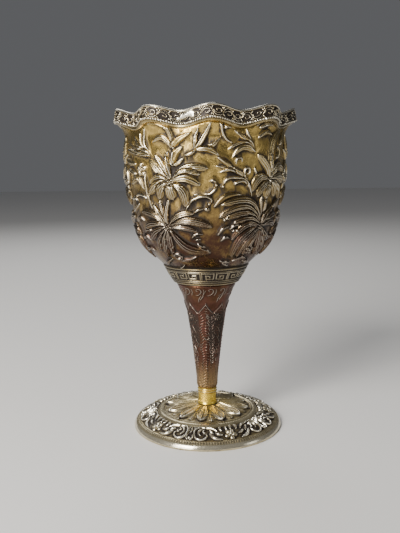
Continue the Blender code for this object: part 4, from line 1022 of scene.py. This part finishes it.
def worked_metal(name, silver, gilt, dark, gilding, wear_and_highlight, grain, matting, film=0.0,
                 tint=None, tint_from=0.0, tint_to=1.0):
    """Worked silver-gilt. gilding is how much of the ground is still gold, the ridge value after it how
    bright its ridges are, from wear and from painted highlight, grain how rough it is, matting how deep
    the punched ground is, and film how much of it lies under a dull film, each from 0 to 1. Its hollows
    go dark with patina and with painted shade. The metal goes over to the colour tint from the height
    tint_from to tint_to."""
    material = bpy.data.materials.new(name)
    material.use_nodes = True
    tree = material.node_tree
    shader = tree.nodes["Principled BSDF"]
    place = add_node(tree, "ShaderNodeTexCoord").outputs["Object"]
    hollow, ridge, raised = (add_node(tree, "ShaderNodeAttribute", attribute_name=mark).outputs["Fac"]
                             for mark in ("hollow", "ridge", "raised"))
    patches = noise(tree, place, 45.0)
    specks = noise(tree, place, 900.0, 3.0, 0.7)
    clouds = noise(tree, place, 190.0, 5.0, 0.65)
    gold_left = ramped(tree, patches, 0.62 - 0.4 * gilding, 0.8 - 0.4 * gilding)
    on_ground = ramped(tree, raised, 0.0, 0.8, 1.0, 0.4)
    gold_share = combined(tree, "MULTIPLY", gold_left, on_ground)
    metal = mixed(tree, gold_share, (*silver, 1.0), (*gilt, 1.0))
    tarnish = ramped(tree, clouds, 0.34, 0.7, 0.0, 0.75)
    metal = mixed(tree, tarnish, metal, tuple(0.35 * (s + d) for s, d in zip(gilt, dark)) + (1.0,))
    if tint:
        height = add_node(tree, "ShaderNodeSeparateXYZ", {0: place}).outputs["Z"]
        tinted = ramped(tree, height, tint_to, tint_from, 1.0, 0.0)
        tinted = combined(tree, "MULTIPLY", tinted, ramped(tree, clouds, 0.2, 0.6, 0.7, 1.0))
        metal = mixed(tree, tinted, metal, (*tint, 1.0))
        wear_and_highlight = ramped(tree, tinted, 0.0, 1.0, wear_and_highlight, 0.5 * wear_and_highlight)
    # The ridges go over to a pale colour: wear and painted highlight
    worn_and_highlit = combined(tree, "MULTIPLY", ramped(tree, ridge, 0.1, 0.8), wear_and_highlight)
    bright = mixed(tree, worn_and_highlit, metal, WORN_AND_HIGHLIGHT)
    # The hollows go over to dark: patina, and painted shade beside raised work
    spread = combined(tree, "ADD", hollow, ramped(tree, clouds, 0.3, 0.8, 0.0, 0.14))
    patina_and_shade = ramped(tree, spread, 0.12, 0.95)
    colour = mixed(tree, patina_and_shade, bright, (*dark, 1.0))
    tree.links.new(colour, shader.inputs["Base Color"])
    tree.links.new(ramped(tree, patina_and_shade, 0.2, 1.0, 1.0 - film, 0.5), shader.inputs["Metallic"])
    smooth = ramped(tree, clouds, 0.3, 0.75, grain - 0.06, grain + 0.12)
    rough = combined(tree, "ADD", smooth, ramped(tree, patina_and_shade, 0.0, 1.0, 0.0, 0.25))
    rough = combined(tree, "SUBTRACT", rough, ramped(tree, ridge, 0.1, 0.8, 0.0, 0.1))
    tree.links.new(rough, shader.inputs["Roughness"])
    cells = add_node(tree, "ShaderNodeTexVoronoi", {"Vector": place, "Scale": 1500.0}, feature="F1")
    depth = ramped(tree, raised, 0.0, 0.6, matting, 0.0)
    punched = combined(tree, "MULTIPLY", cells.outputs["Distance"], depth)
    surface = combined(tree, "ADD", punched, combined(tree, "MULTIPLY", specks, 0.25))
    bump = add_node(tree, "ShaderNodeBump", {"Strength": 0.45, "Distance": 0.0002, "Height": surface})
    tree.links.new(bump.outputs["Normal"], shader.inputs["Normal"])
    return material


def floor_material():
    material = bpy.data.materials.new("pale_floor")
    material.use_nodes = True
    shader = material.node_tree.nodes["Principled BSDF"]
    shader.inputs["Base Color"].default_value = (0.78, 0.77, 0.75, 1.0)
    shader.inputs["Roughness"].default_value = 0.75
    return material


def build_floor():
    mesh = bpy.data.meshes.new("floor")
    side = 3.0
    corners = ((-side, -side, 0), (side, -side, 0), (side, side, 0), (-side, side, 0))
    mesh.from_pydata(corners, [], [(0, 1, 2, 3)])
    mesh.materials.append(floor_material())
    floor = bpy.data.objects.new("floor", mesh)
    bpy.context.scene.collection.objects.link(floor)


def add_light(name, place, size, power, colour=(1.0, 1.0, 1.0), aim=(0.0, 0.0, 0.1)):
    light = bpy.data.lights.new(name, "AREA")
    light.shape = "SQUARE"
    light.size = size
    light.energy = power
    light.color = colour
    lamp = bpy.data.objects.new(name, light)
    lamp.location = place
    lamp.rotation_euler = (Vector(place) - Vector(aim)).to_track_quat("Z", "Y").to_euler()
    bpy.context.scene.collection.objects.link(lamp)


def build_light():
    world = bpy.data.worlds.new("studio")
    bpy.context.scene.world = world
    world.use_nodes = True
    world.node_tree.nodes["Background"].inputs["Color"].default_value = (0.93, 0.95, 1.0, 1.0)
    world.node_tree.nodes["Background"].inputs["Strength"].default_value = 0.12
    add_light("key", (-0.5, -0.66, 0.62), 0.4, 13.0, (1.0, 0.97, 0.92))
    add_light("front", (-0.6, -0.8, 0.3), 0.5, 7.5, (1.0, 0.98, 0.95))
    add_light("fill", (0.8, -0.3, 0.3), 0.3, 0.5)
    add_light("back", (-0.2, 0.75, 0.75), 0.6, 3.5)


def build_camera():
    camera = bpy.data.cameras.new("camera")
    camera.sensor_width = 36.0
    camera.lens = CAMERA_LENS
    camera.clip_start = 0.01
    forward = Vector((0, math.cos(CAMERA_DOWN), -math.sin(CAMERA_DOWN)))
    up = Vector((0, math.sin(CAMERA_DOWN), math.cos(CAMERA_DOWN)))
    right = Vector((1, 0, 0))
    turned_right = right * math.cos(CAMERA_ROLL) + up * math.sin(CAMERA_ROLL)
    turned_up = up * math.cos(CAMERA_ROLL) - right * math.sin(CAMERA_ROLL)
    axes = Matrix((turned_right, turned_up, -forward)).transposed()
    view = bpy.data.objects.new("camera", camera)
    view.matrix_world = Matrix.Translation(CAMERA_PLACE) @ axes.to_4x4()
    bpy.context.scene.collection.objects.link(view)
    bpy.context.scene.camera = view


def main():
    build_camera()
    build_floor()
    build_light()
    # The bowl darkens to brown towards its bottom: painted shade, standing in for dark reflections low on it
    build_bowl(worked_metal("bowl_silver_gilt", SILVER, GILT, DARK, gilding=1.0, wear_and_highlight=0.55, grain=0.26,
                            matting=0.45, tint=PAINTED_SHADE_BROWN, tint_from=0.15, tint_to=0.106))
    build_border(worked_metal("border_silver_gilt", (0.32, 0.27, 0.16), GILT, DARK, gilding=0.5, wear_and_highlight=0.8,
                              grain=0.25, matting=0.3))
    build_collar(worked_metal("collar_silver_gilt", (0.1, 0.08, 0.05), (0.4, 0.28, 0.09), DARK,
                              gilding=0.5, wear_and_highlight=0.22, grain=0.3, matting=0.2))
    # The stem's reddish brown is darkened beyond its own colour: painted shade on its downward-facing surface
    build_stem(worked_metal("stem_silver_gilt", (0.11, 0.048, 0.036), (0.14, 0.07, 0.035), DARK,
                            gilding=0.4, wear_and_highlight=0.26, grain=0.36, matting=0.2,
                            tint=TAN, tint_from=0.04, tint_to=0.023))
    build_ferrule(worked_metal("ferrule_gilt", (1.0, 0.71, 0.1), (1.0, 0.73, 0.11), (0.3, 0.14, 0.03),
                               gilding=1.0, wear_and_highlight=0.3, grain=0.24, matting=0.0, film=0.2))
    build_foot(worked_metal("foot_silver_gilt", (0.64, 0.56, 0.37), (0.5, 0.4, 0.19), DARK, gilding=0.9,
                            wear_and_highlight=0.9, grain=0.24, matting=0.25, film=0.14,
                            tint=GOLD, tint_from=0.0104, tint_to=0.0126))


main()
